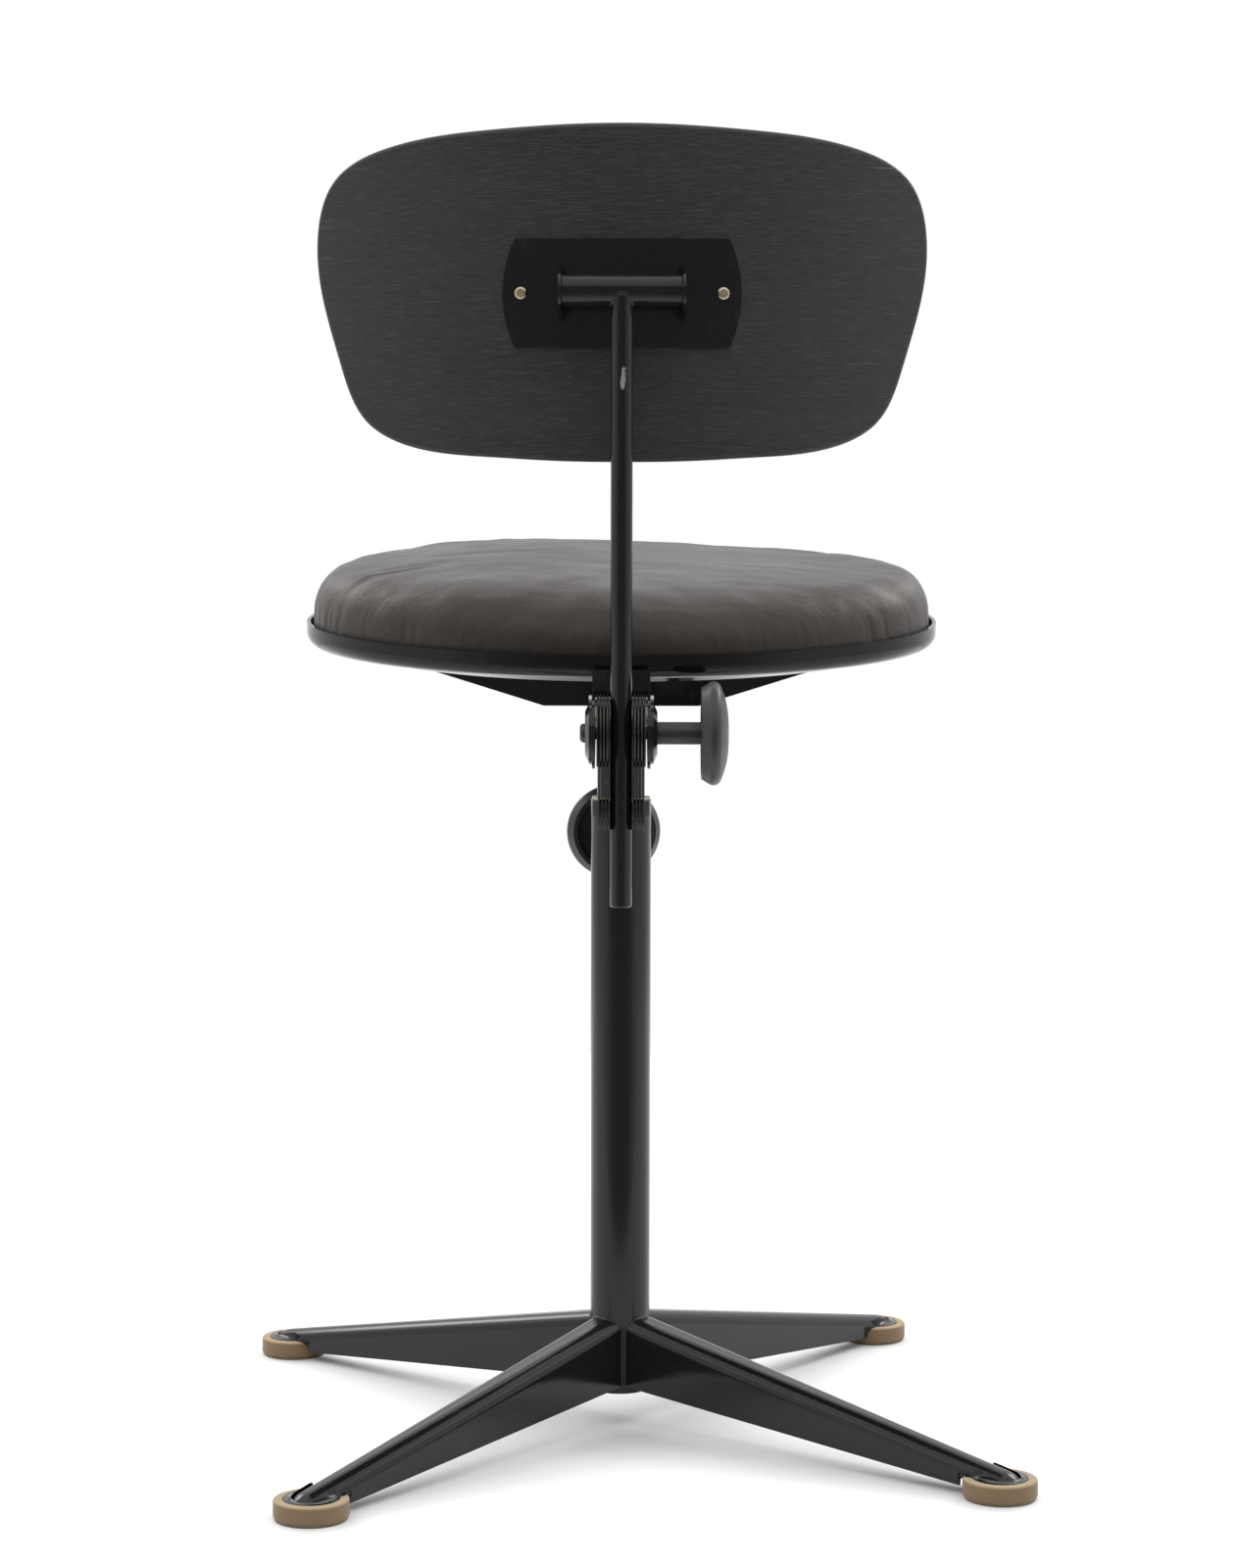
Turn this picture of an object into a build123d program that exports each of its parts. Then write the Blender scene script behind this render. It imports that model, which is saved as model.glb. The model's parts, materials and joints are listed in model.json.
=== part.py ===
"""Adjustable swivel work stool: four-legged steel base, clamped column, padded seat, adjustable back.

Millimetres. +Z is up, the origin is on the floor on the column axis and the sitter faces -Y.
Every sub-part is one labelled STEP file in parts/.
"""

import os
from math import cos, hypot, radians, sin, sqrt, tan

from build123d import *

os.makedirs("parts", exist_ok=True)

# ---------------------------------------------------------------- driving dimensions
running = 0.08            # radial clearance of a shaft that turns or slides in its hole
loose = 0.25              # clearance round a bolt that only passes through
plate_gap = 0.1           # air between two friction plates

# column
column_od = 42.4
column_wall = 2.6
column_bottom = 25.0
column_top = 446.5
inner_od = 33.7
inner_wall = 2.0
inner_bottom = 200.0

# base
leg_turn = 51.6           # angle of the first leg from +X
foot_circle = 320.8       # radius of the circle through the feet
leg_sheet = 2.0
leg_hub_width = 29.0
leg_tip_width = 21.5
leg_hub_top = 77.2        # height of the ridge where it meets the column
leg_hub_under = 28.8      # height of the open lower edge where it meets the column
leg_over_foot = 5.7       # ridge above the rubber foot's top, over the foot's middle
leg_tip_under = 4.1       # height of the open lower edge over the foot's middle
leg_fold = 6.0            # outside radius of the folded ridge
foot_radius = 24.8
foot_height = 13.5
foot_seat = 1.5           # depth of the recess that holds the leg's round end plate
end_plate_radius = 18.5
end_plate_sheet = 2.0
foot_screw_radius = 2.0
foot_screw_head = 4.5

# hand knobs, both the same moulding
knob_radius = 33.8
knob_thick = 17.1
knob_rim = 6.0
stud_radius = 4.0
clamp_drop = 27.0         # column clamp screw below the column's top
boss_radius = 11.0
boss_length = 13.0
knob_gap = 4.0            # between the boss and the knob's open side
pad_length = 3.0
pad_gap = 0.3             # between the brass pad and the inner tube

# seat
seat_tilt = 6.0
seat_rim_height = 573.5   # rim height over the column axis
seat_half_width = 221.0
seat_front = 202.0
seat_rear = 178.0
pan_depth = 16.0
pan_sheet = 2.5
pan_corner = 9.0
cushion_rise = 41.0       # cushion above the pan rim
cushion_shoulder = 24.0
cushion_inset = 4.0
under_sheet = 3.0
under_inset = 34.0        # under plate inside the pan's outline at the sides and front
under_rear_inset = 13.0

# seat bracket and the arm that carries the back clamp
bracket_drop = 59.5       # bracket floor below the pan's rim
bracket_half_depth = 30.0
bracket_half_floor = 54.0
bracket_knee_rise = 30.0
bracket_tip_rise = 35.0
bracket_tip_inset = 15.0   # tip inside the under plate's edge
bracket_tip_length = 22.0
bracket_sheet = 2.5
seat_screw_y = 17.0
seat_screw_radius = 2.5
seat_screw_head = 4.6
swivel_radius = 10.0
swivel_flange_radius = 23.0
swivel_gap = 10.0         # bracket floor above the inner tube
bush_flange = 2.0
bush_length = 40.0
washer_thick = 2.4
circlip_thick = 1.5
arm_clear = 0.9           # between the plate pack and each cheek of the arm
arm_sheet = 2.0
arm_rise = 20.0           # arm's flat top above the bracket's floor
arm_root_rise = 3.0
arm_upstand = 12.0        # lip at the arm's end

# back clamp and stem
clamp_reach = 27.0        # clamp bolt behind the seat's rear edge
clamp_under = 28.0        # clamp bolt below the arm's top
arm_end_gap = 19.0        # arm's lip in front of the clamp bolt
top_pin_ahead = 21.0      # top pin in front of the clamp bolt
top_pin_rise = 20.0
low_pin_drop = 49.0
pin_radius = 3.0
plates_a_side = 4
plate_sheet = 1.0
fixed_plate_radius = 22.0
swing_plate_half_width = 12.0
swing_plate_rise = 22.5    # plate ends above the clamp bolt
swing_plate_tail = 13.5    # and below the lower pin
cap_radius = 20.0
cap_thick = 4.3
sleeve_radius = 7.3
sleeve_length = 28.6
stem_width = 14.2
stem_depth = 20.0
stem_wall = 1.6
stem_below = 113.0        # stem's lower end below the clamp bolt
slot_above_end = 10.0
slot_above_clamp = 60.0

# back
rock_rise = 285.0         # rock pin above the clamp bolt
cross_radius = 10.15
cross_length = 77.8
cross_bore = 7.0
back_offset = 30.0        # from the rock pin to the rear face of the plywood
back_bend = 420.0         # radius of the plywood's rear face
back_thick = 10.0
back_edge = 3.0
back_sheet = 2.0
ear_sheet = 2.0
ear_half_height = 18.75
back_bolt_x = 65.6
back_bolt_radius = 2.5

# ---------------------------------------------------------------- derived places
column_radius = column_od / 2
column_bore = column_radius - column_wall
inner_radius = inner_od / 2
inner_bore = inner_radius - inner_wall
leg_run = foot_circle - column_radius
leg_top_fall = (leg_hub_top - foot_height - leg_over_foot) / leg_run
leg_under_fall = (leg_hub_under - leg_tip_under) / leg_run
leg_angles = [leg_turn + 90 * i for i in range(4)]
leg_names = ["rear_left", "rear_right", "front_right", "front_left"]
stem_half = stem_width / 2
plate_pitch = 2 * (plate_sheet + plate_gap)
pack_inner = stem_half + 0.2
pack_outer = pack_inner + plates_a_side * plate_pitch
arm_cheek_inner = pack_outer + arm_clear
arm_half_width = arm_cheek_inner + arm_sheet
cap_inner = arm_half_width + plate_gap
pan_floor = pan_depth - pan_sheet
under_half_width = seat_half_width - under_inset
under_front = seat_front - under_inset
under_rear = seat_rear - under_rear_inset
bracket_bottom = seat_rim_height - bracket_drop
bracket_tip = (under_half_width - bracket_tip_inset, bracket_bottom + bracket_tip_rise)
bracket_knee = (bracket_tip[0] - bracket_tip_length, bracket_bottom + bracket_knee_rise)
screw_x = bracket_tip[0] - bracket_tip_length / 2
screw_spots = [(x, y) for x in (-screw_x, screw_x) for y in (-seat_screw_y, seat_screw_y)]
inner_top = bracket_bottom - swivel_gap
spindle_seat = inner_top + bush_flange + washer_thick + plate_gap
clip_groove = inner_top - bush_length - 1 - circlip_thick
arm_top = bracket_bottom + arm_rise
clamp_y = seat_rear + clamp_reach
clamp_z = arm_top - clamp_under
arm_end = clamp_y - arm_end_gap
top_pin = (clamp_y - top_pin_ahead, clamp_z + top_pin_rise)
low_pin_z = clamp_z - low_pin_drop
low_pin_radius = stud_radius
stem_bottom = clamp_z - stem_below
stem_slot_low = stem_bottom + slot_above_end
stem_slot_high = clamp_z + slot_above_clamp
rock_z = clamp_z + rock_rise
sleeve_start = cap_inner + cap_thick
knob_face = sleeve_start + sleeve_length
ear_inner = cross_length / 2 + 0.2
bolt_turn = back_bolt_x / back_bend
clamp_height = column_top - clamp_drop
clamp_turn = leg_turn + 225   # midway between the two front legs
clamp_dir = Vector(cos(radians(clamp_turn)), sin(radians(clamp_turn)), 0)
pad_face = inner_radius + pad_gap
pad_radius = stud_radius + 0.6
boss_end = column_radius + boss_length
knob_inner = boss_end + knob_gap
back_centre_y = clamp_y - back_offset - back_bend
seat_plane = Plane(
    (0, 0, seat_rim_height), x_dir=(1, 0, 0), z_dir=(0, sin(radians(seat_tilt)), cos(radians(seat_tilt)))
)


def save(builder, name):
    """Labels a finished piece and writes its STEP file."""
    builder.part.label = name
    export_step(builder.part, f"parts/{name}.step")


def ridge_height(radius):
    return leg_hub_top - leg_top_fall * (radius - column_radius)


def under_height(radius):
    return leg_hub_under - leg_under_fall * (radius - column_radius)


def seat_outline(half_width, front, rear):
    """Closed oval in the seat plane: a half ellipse behind the column axis and another in front."""
    with BuildLine() as outline:
        EllipticalCenterArc((0, 0), half_width, rear, start_angle=0, arc_size=180)
        EllipticalCenterArc((0, 0), half_width, front, start_angle=180, arc_size=180)
    return outline.line


# ---------------------------------------------------------------- base
def leg_solid(inset, reach):
    """Straight tapering ridge along +X with a round nose; inset makes the hollow inside it."""
    start = column_radius - 8 + inset
    hub_half = leg_hub_width / 2 - inset
    tip_half = leg_tip_width / 2 - inset
    low = 30 if inset else 0
    with BuildPart() as ridge:
        with BuildSketch(Plane.XZ):
            with BuildLine():
                Polyline(
                    (start, under_height(start) - low),
                    (start, ridge_height(start) - inset),
                    (reach + 20, ridge_height(reach + 20) - inset),
                    (reach + 20, under_height(reach + 20) - low),
                    close=True,
                )
            make_face()
        extrude(amount=leg_hub_width, both=True)
        with BuildSketch(Plane.XY.offset(-40)):
            with BuildLine():
                Line((reach, -tip_half), (start, -hub_half))
                Line((start, -hub_half), (start, hub_half))
                Line((start, hub_half), (reach, tip_half))
                ThreePointArc((reach, tip_half), (reach + tip_half, 0), (reach, -tip_half))
            make_face()
        extrude(amount=180, mode=Mode.INTERSECT)
        crest = ridge.faces().sort_by(Axis.Z)[-1].edges().sort_by(Axis.X)[1:]
        if inset:
            chamfer(crest, length=inset)
        else:
            fillet(crest, radius=leg_fold)
    return ridge.part


def make_leg(angle, name):
    hollow_end = foot_circle - foot_radius - 2
    nose = foot_circle + 4
    turned = Plane.XY.rotated((0, 0, angle))
    outside = turned.location * leg_solid(0, nose)
    inside = turned.location * leg_solid(leg_sheet, hollow_end)
    foot_x = foot_circle * cos(radians(angle))
    foot_y = foot_circle * sin(radians(angle))
    with BuildPart() as leg:
        add(outside)
        add(inside, mode=Mode.SUBTRACT)
        with BuildSketch(Plane.XY.offset(-1)):
            Circle(column_radius)
        extrude(amount=leg_hub_top + 40, mode=Mode.SUBTRACT)
        with BuildSketch(Plane.XY.offset(-1)):
            with Locations((foot_x, foot_y)):
                Circle(foot_radius + loose)
        extrude(amount=foot_height + 1.1, mode=Mode.SUBTRACT)
        with BuildSketch(Plane.XY.offset(foot_height - foot_seat)):
            with Locations((foot_x, foot_y)):
                Circle(end_plate_radius)
        extrude(amount=end_plate_sheet)
        with BuildSketch(Plane.XY.offset(foot_height - foot_seat)):
            with Locations((foot_x, foot_y)):
                Circle(foot_screw_radius + running)
        extrude(amount=end_plate_sheet, mode=Mode.SUBTRACT)
    save(leg, f"leg_{name}")


def make_foot(angle, name):
    spot = Plane((foot_circle * cos(radians(angle)), foot_circle * sin(radians(angle)), 0))
    side = Plane(spot.origin, x_dir=(1, 0, 0), z_dir=(0, -1, 0))
    recess = end_plate_radius + loose
    floor = foot_height - foot_seat
    head = foot_screw_head + loose
    with BuildPart() as foot:
        with BuildSketch(side):
            with BuildLine():
                Polyline(
                    (head, 0), (foot_radius - 1.2, 0), (foot_radius, 3), (foot_radius, foot_height),
                    (recess, foot_height), (recess, floor), (foot_screw_radius + running, floor),
                    (foot_screw_radius + running, 4), (head, 4), close=True,
                )
            make_face()
        revolve(axis=Axis(spot.origin, (0, 0, 1)))
        rim = foot.edges().filter_by(GeomType.CIRCLE).group_by(Axis.Z)[-1].sort_by(SortBy.RADIUS)[-1]
        fillet(rim, radius=1.6)
    save(foot, f"foot_{name}")


def make_foot_screws():
    """Four countersunk screws that hold the rubber feet to the legs' end plates."""
    with BuildPart() as screws:
        for angle in leg_angles:
            spot = (foot_circle * cos(radians(angle)), foot_circle * sin(radians(angle)))
            with BuildSketch(Plane.XY.offset(1.2)):
                with Locations(spot):
                    Circle(foot_screw_head)
            extrude(amount=2.8)
            with BuildSketch(Plane.XY.offset(4)):
                with Locations(spot):
                    Circle(foot_screw_radius)
            extrude(amount=foot_height - foot_seat + end_plate_sheet - 4.2)
    save(screws, "foot_screws")


def clamp_plane(distance):
    """Plane square to the column clamp screw, at a distance from the column axis."""
    return Plane(clamp_dir * distance + Vector(0, 0, clamp_height), x_dir=(0, 0, 1), z_dir=clamp_dir)


def make_column_tube():
    with BuildPart() as tube:
        with BuildSketch(Plane.XY.offset(column_bottom)):
            Circle(column_radius)
            Circle(column_bore, mode=Mode.SUBTRACT)
        extrude(amount=column_top - column_bottom)
        with BuildSketch(clamp_plane(0)):
            Circle(pad_radius + running)
        extrude(amount=column_radius + 5, mode=Mode.SUBTRACT)
    save(tube, "column_tube")


def make_column_plug():
    with BuildPart() as plug:
        with BuildSketch(Plane.XY.offset(column_bottom - 1.6)):
            Circle(column_radius - 1.0)
        extrude(amount=1.6)
        with BuildSketch(Plane.XY.offset(column_bottom)):
            Circle(column_bore)
            Circle(column_bore - 2, mode=Mode.SUBTRACT)
        extrude(amount=10)
        fillet(plug.edges().group_by(Axis.Z)[0], radius=1.0)
    save(plug, "column_plug")


def make_column_bush():
    """Guide bush pressed into the top of the column, with a thin collar on the rim."""
    bore = inner_radius + running
    with BuildPart() as bush:
        with BuildSketch(Plane.XY.offset(column_top - 42)):
            Circle(column_bore)
            Circle(bore, mode=Mode.SUBTRACT)
        extrude(amount=42)
        with BuildSketch(Plane.XY.offset(column_top)):
            Circle(column_radius - 0.6)
            Circle(bore, mode=Mode.SUBTRACT)
        extrude(amount=1.6)
        with BuildSketch(clamp_plane(0)):
            Circle(pad_radius + running)
        extrude(amount=column_radius + 5, mode=Mode.SUBTRACT)
    save(bush, "column_bush")


def make_clamp_boss():
    """Threaded boss welded to the column for the height clamp."""
    with BuildPart() as boss:
        with BuildSketch(clamp_plane(0)):
            Circle(boss_radius)
        extrude(amount=boss_end)
        with BuildSketch(Plane.XY.offset(clamp_height - 30)):
            Circle(column_radius)
        extrude(amount=60, mode=Mode.SUBTRACT)
        with BuildSketch(clamp_plane(0)):
            Circle(stud_radius + running)
        extrude(amount=boss_end + 5, mode=Mode.SUBTRACT)
        with BuildSketch(clamp_plane(0)):
            Circle(pad_radius + running)
        extrude(amount=column_radius + 2.5, mode=Mode.SUBTRACT)
        outer = boss.edges().filter_by(GeomType.CIRCLE).sort_by(Axis((0, 0, 0), tuple(clamp_dir)))[-2:]
        chamfer(outer.sort_by(SortBy.RADIUS)[-1], length=1.2)
    save(boss, "clamp_boss")


def make_clamp_pad():
    with BuildPart() as pad:
        with BuildSketch(clamp_plane(pad_face)):
            Circle(pad_radius)
        extrude(amount=pad_length)
    save(pad, "clamp_pad")


def knob_solid(seat, bore, hub_length):
    """Hand knob on a plane whose normal points outwards: crowned face, open back, hub in the middle."""
    with BuildPart() as knob:
        with BuildSketch(Plane.XZ):
            with BuildLine():
                Line((bore, -hub_length), (bore, knob_thick - 4))
                Line((bore, knob_thick - 4), (0, knob_thick - 4))
                Line((0, knob_thick - 4), (0, knob_thick))
                ThreePointArc(
                    (0, knob_thick), (knob_radius * 0.62, knob_thick - 1.2), (knob_radius - 3.5, knob_thick - 4.4)
                )
                ThreePointArc(
                    (knob_radius - 3.5, knob_thick - 4.4), (knob_radius - 0.2, knob_thick - 8), (knob_radius - 0.6, 5.5)
                )
                Line((knob_radius - 0.6, 5.5), (knob_radius - 4, 0))
                Line((knob_radius - 4, 0), (knob_radius - knob_rim - 1, 0))
                Line((knob_radius - knob_rim - 1, 0), (knob_radius - knob_rim - 3, knob_thick - 6))
                Line((knob_radius - knob_rim - 3, knob_thick - 6), (sleeve_radius + 1.5, knob_thick - 6))
                Line((sleeve_radius + 1.5, knob_thick - 6), (sleeve_radius, -hub_length))
                Line((sleeve_radius, -hub_length), (bore, -hub_length))
            make_face()
        revolve(axis=Axis.Z)
    return seat.location * knob.part


def make_height_knob():
    with BuildPart() as knob:
        add(knob_solid(clamp_plane(knob_inner), stud_radius, 2.0))
    save(knob, "height_knob")


def make_height_stud():
    """Clamp screw fixed in the height knob; its tip bears on the pad."""
    start = pad_face + pad_length
    with BuildPart() as stud:
        with BuildSketch(clamp_plane(start)):
            Circle(stud_radius)
        extrude(amount=knob_inner + knob_thick - 4 - start)
        chamfer(stud.edges().sort_by(Axis((0, 0, 0), tuple(clamp_dir)))[0], length=0.8)
    save(stud, "height_stud")


# ---------------------------------------------------------------- inner column and swivel
def make_inner_tube():
    with BuildPart() as tube:
        with BuildSketch(Plane.XY.offset(inner_bottom)):
            Circle(inner_radius)
            Circle(inner_bore, mode=Mode.SUBTRACT)
        extrude(amount=inner_top - inner_bottom)
    save(tube, "inner_tube")


def make_guide_ring():
    """Nylon ring on the lower end of the inner tube, sliding in the column."""
    with BuildPart() as ring:
        with BuildSketch(Plane.XY.offset(inner_bottom - 4)):
            Circle(column_bore - running)
            Circle(inner_bore - 3, mode=Mode.SUBTRACT)
        extrude(amount=4)
        with BuildSketch(Plane.XY.offset(inner_bottom)):
            Circle(inner_bore)
            Circle(inner_bore - 3, mode=Mode.SUBTRACT)
        extrude(amount=14)
    save(ring, "guide_ring")


def make_swivel_bush():
    with BuildPart() as bush:
        with BuildSketch(Plane.XY.offset(inner_top - bush_length)):
            Circle(inner_bore)
            Circle(swivel_radius + running, mode=Mode.SUBTRACT)
        extrude(amount=bush_length)
        with BuildSketch(Plane.XY.offset(inner_top)):
            Circle(inner_radius)
            Circle(swivel_radius + running, mode=Mode.SUBTRACT)
        extrude(amount=bush_flange)
    save(bush, "swivel_bush")


def make_thrust_washer():
    with BuildPart() as washer:
        with BuildSketch(Plane.XY.offset(inner_top + bush_flange)):
            Circle(inner_radius - 0.5)
            Circle(swivel_radius + loose, mode=Mode.SUBTRACT)
        extrude(amount=washer_thick)
    save(washer, "thrust_washer")


def make_swivel_spindle():
    """Spindle welded under the seat bracket; a groove near its end takes the circlip."""
    end = inner_top - bush_length - 12
    with BuildPart() as spindle:
        with BuildSketch(Plane.XY.offset(end)):
            Circle(swivel_radius)
        extrude(amount=spindle_seat - end)
        with BuildSketch(Plane.XY.offset(spindle_seat)):
            Circle(swivel_flange_radius)
        extrude(amount=bracket_bottom - spindle_seat)
        with BuildSketch(Plane.XY.offset(clip_groove)):
            Circle(swivel_radius)
            Circle(swivel_radius - 1, mode=Mode.SUBTRACT)
        extrude(amount=circlip_thick, mode=Mode.SUBTRACT)
        chamfer(spindle.edges().group_by(Axis.Z)[0], length=1.5)
    save(spindle, "swivel_spindle")


def make_circlip():
    with BuildPart() as clip:
        with BuildSketch(Plane.XY.offset(clip_groove)):
            Circle(swivel_radius + 3)
            Circle(swivel_radius - 1, mode=Mode.SUBTRACT)
            with Locations((0, swivel_radius + 2)):
                Rectangle(5, 8, mode=Mode.SUBTRACT)
        extrude(amount=circlip_thick)
    save(clip, "spindle_circlip")


# ---------------------------------------------------------------- seat
def seat_height(y, depth):
    """Height of the tilted seat plane at Y, a depth below the rim measured square to the seat."""
    return seat_rim_height - depth / cos(radians(seat_tilt)) - y * tan(radians(seat_tilt))


def on_seat_level(edge, level):
    """True for an edge that lies in the plane parallel to the seat at this level."""
    return all(abs(seat_plane.to_local_coords(edge @ at).Z - level) < 0.01 for at in (0, 0.37, 1))


def screw_holes():
    with BuildPart() as holes:
        with BuildSketch(Plane.XY.offset(bracket_bottom)):
            with Locations(*screw_spots):
                Circle(seat_screw_radius + loose)
        extrude(amount=60)
    return holes.part


def make_seat_pan():
    """Pressed steel tray with a rounded corner; the cushion sits inside its rim."""
    with BuildPart() as pan:
        with BuildSketch(seat_plane.offset(-pan_depth)):
            add(seat_outline(seat_half_width, seat_front, seat_rear))
            make_face()
        extrude(amount=pan_depth)
        with BuildSketch(seat_plane.offset(-pan_floor)):
            add(seat_outline(seat_half_width - pan_sheet, seat_front - pan_sheet, seat_rear - pan_sheet))
            make_face()
        extrude(amount=pan_depth, mode=Mode.SUBTRACT)
        levels = pan.edges().group_by(Axis(seat_plane.origin, seat_plane.z_dir))
        fillet(levels[0], radius=pan_corner)
        levels = pan.edges().filter_by(lambda edge: on_seat_level(edge, -pan_floor))
        fillet(levels, radius=pan_corner - pan_sheet)
        add(screw_holes(), mode=Mode.SUBTRACT)
    save(pan, "seat_pan")


def make_under_plate():
    with BuildPart() as plate:
        with BuildSketch(seat_plane.offset(-pan_depth - under_sheet)):
            add(seat_outline(under_half_width, under_front, under_rear))
            make_face()
        extrude(amount=under_sheet)
        add(screw_holes(), mode=Mode.SUBTRACT)
    save(plate, "under_plate")


def make_cushion():
    """Plain closed solid for the leather cushion, standing in the pan."""
    gap = cushion_inset
    with BuildPart() as cushion:
        with BuildSketch(seat_plane.offset(-pan_floor)):
            add(seat_outline(seat_half_width - gap, seat_front - gap, seat_rear - gap))
            make_face()
        extrude(amount=pan_floor + cushion_rise)
        levels = cushion.edges().group_by(Axis(seat_plane.origin, seat_plane.z_dir))
        fillet(levels[-1], radius=cushion_shoulder)
        levels = cushion.edges().filter_by(lambda edge: on_seat_level(edge, -pan_floor))
        fillet(levels, radius=pan_corner - pan_sheet)
    save(cushion, "seat_cushion")


def make_bracket():
    """Folded steel tray across the seat: flat floor, sloping ends, flat tips screwed to the under plate."""
    top = seat_height(0, 0)
    with BuildPart() as bracket:
        with BuildSketch(Plane.XZ):
            with BuildLine():
                Polyline(
                    (0, top), (0, bracket_bottom), (bracket_half_floor, bracket_bottom), bracket_knee,
                    bracket_tip, (bracket_tip[0], top), close=True,
                )
            make_face()
            mirror(about=Plane.YZ)
        extrude(amount=bracket_half_depth, both=True)
        with BuildSketch(Plane.XZ):
            with BuildLine():
                rise = bracket_sheet * 1.05
                Polyline(
                    (0, top), (0, bracket_bottom + bracket_sheet),
                    (bracket_half_floor - 0.4, bracket_bottom + bracket_sheet),
                    (bracket_knee[0] - 3, bracket_knee[1] - 0.9 + rise), (bracket_knee[0] - 3, top), close=True,
                )
            make_face()
            mirror(about=Plane.YZ)
        extrude(amount=bracket_half_depth - bracket_sheet, both=True, mode=Mode.SUBTRACT)
        with BuildSketch(seat_plane.offset(-pan_depth - under_sheet)):
            Rectangle(500, 300)
        extrude(amount=100, mode=Mode.SUBTRACT)
        add(screw_holes(), mode=Mode.SUBTRACT)
    save(bracket, "seat_bracket")


def make_seat_screws():
    """Four pan-head screws up through the bracket tips, the under plate and the pan."""
    with BuildPart() as screws:
        for x, y in screw_spots:
            head = bracket_tip[1] - 3.9
            reach = seat_height(y, pan_floor) - 0.4
            with BuildSketch(Plane.XY.offset(head)):
                with Locations((x, y)):
                    Circle(seat_screw_radius)
            extrude(amount=reach - head)
            with BuildSketch(Plane.XY.offset(head - 2.2)):
                with Locations((x, y)):
                    Circle(seat_screw_head)
            extrude(amount=2.2)
    save(screws, "seat_screws")


# ---------------------------------------------------------------- back clamp
def side_plane(x):
    """Vertical plane at X whose local X is +Y and whose normal is +X."""
    return Plane((x, 0, 0), x_dir=(0, 1, 0), z_dir=(1, 0, 0))


def across(x0, x1):
    """Sketch plane and length for a piece that spans X from x0 to x1."""
    return side_plane(x0), x1 - x0


def make_arm():
    """Inverted U channel from the bracket to the back clamp; its cheeks carry the clamp bolt."""
    root = bracket_half_depth
    spread = swing_plate_half_width + 11
    with BuildPart() as arm:
        for x in (-arm_half_width, arm_cheek_inner):
            with BuildSketch(side_plane(x)):
                with Locations((clamp_y, clamp_z)):
                    Circle(spread)
                with BuildLine():
                    Polyline(
                        (root, arm_top), (arm_end, arm_top), (clamp_y, clamp_z + spread),
                        (clamp_y - 8, clamp_z - spread + 1.5), (root, bracket_bottom + arm_root_rise), close=True,
                    )
                make_face()
                with Locations((clamp_y, clamp_z)):
                    Circle(stud_radius + loose, mode=Mode.SUBTRACT)
                with Locations(top_pin):
                    Circle(pin_radius, mode=Mode.SUBTRACT)
            extrude(amount=arm_sheet)
        with BuildSketch(Plane.XY.offset(arm_top - arm_sheet)):
            with Locations((0, (root + arm_end) / 2)):
                Rectangle(2 * arm_half_width, arm_end - root)
        extrude(amount=arm_sheet)
        with BuildSketch(Plane.XY.offset(arm_top)):
            with Locations((0, arm_end - arm_sheet / 2)):
                Rectangle(2 * arm_half_width, arm_sheet)
        extrude(amount=arm_upstand)
    save(arm, "clamp_arm")


def plate_starts(side, offset):
    """Inner X of each plate on one side of the stem, from the stem outwards."""
    for i in range(plates_a_side):
        near = pack_inner + offset + i * plate_pitch
        yield near if side > 0 else -near - plate_sheet


def make_fixed_plates(side, name):
    """Friction plates held by the arm: round at the clamp bolt, with a lug up to the top pin."""
    with BuildPart() as plates:
        for x in plate_starts(side, plate_sheet + plate_gap):
            with BuildSketch(side_plane(x)):
                with Locations((clamp_y, clamp_z)):
                    Circle(fixed_plate_radius)
                with Locations(top_pin):
                    Circle(pin_radius + 2.8)
                with BuildLine():
                    Polyline(
                        (top_pin[0] - 5, top_pin[1] - 4), (top_pin[0] + 2, top_pin[1] + 6),
                        (clamp_y, clamp_z + fixed_plate_radius), (clamp_y - 17, clamp_z - 12), close=True,
                    )
                make_face()
                with Locations((clamp_y, clamp_z)):
                    Circle(stud_radius + loose, mode=Mode.SUBTRACT)
                with Locations(top_pin):
                    Circle(pin_radius, mode=Mode.SUBTRACT)
            extrude(amount=plate_sheet)
    save(plates, f"fixed_plates_{name}")


def make_swing_plates(side, name):
    """Friction plates that swing with the stem, between the fixed ones, joined by the lower pin."""
    top = clamp_z + swing_plate_rise
    bottom = low_pin_z - swing_plate_tail
    with BuildPart() as plates:
        for x in plate_starts(side, 0):
            with BuildSketch(side_plane(x)):
                with Locations((clamp_y, (top + bottom) / 2)):
                    RectangleRounded(2 * swing_plate_half_width, top - bottom, radius=5)
                with Locations((clamp_y, clamp_z)):
                    Circle(stud_radius + running, mode=Mode.SUBTRACT)
                with Locations((clamp_y, low_pin_z)):
                    Circle(low_pin_radius, mode=Mode.SUBTRACT)
            extrude(amount=plate_sheet)
    save(plates, f"swing_plates_{name}")


def make_top_pin():
    """Riveted pin across the arm, with a small head outside each cheek."""
    with BuildPart() as pin:
        with BuildSketch(side_plane(-arm_half_width)):
            with Locations(top_pin):
                Circle(pin_radius)
        extrude(amount=2 * arm_half_width)
        for x in (-arm_half_width - 2.2, arm_half_width):
            with BuildSketch(side_plane(x)):
                with Locations(top_pin):
                    Circle(pin_radius + 1)
            extrude(amount=2.2)
    save(pin, "top_pin")


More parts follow.
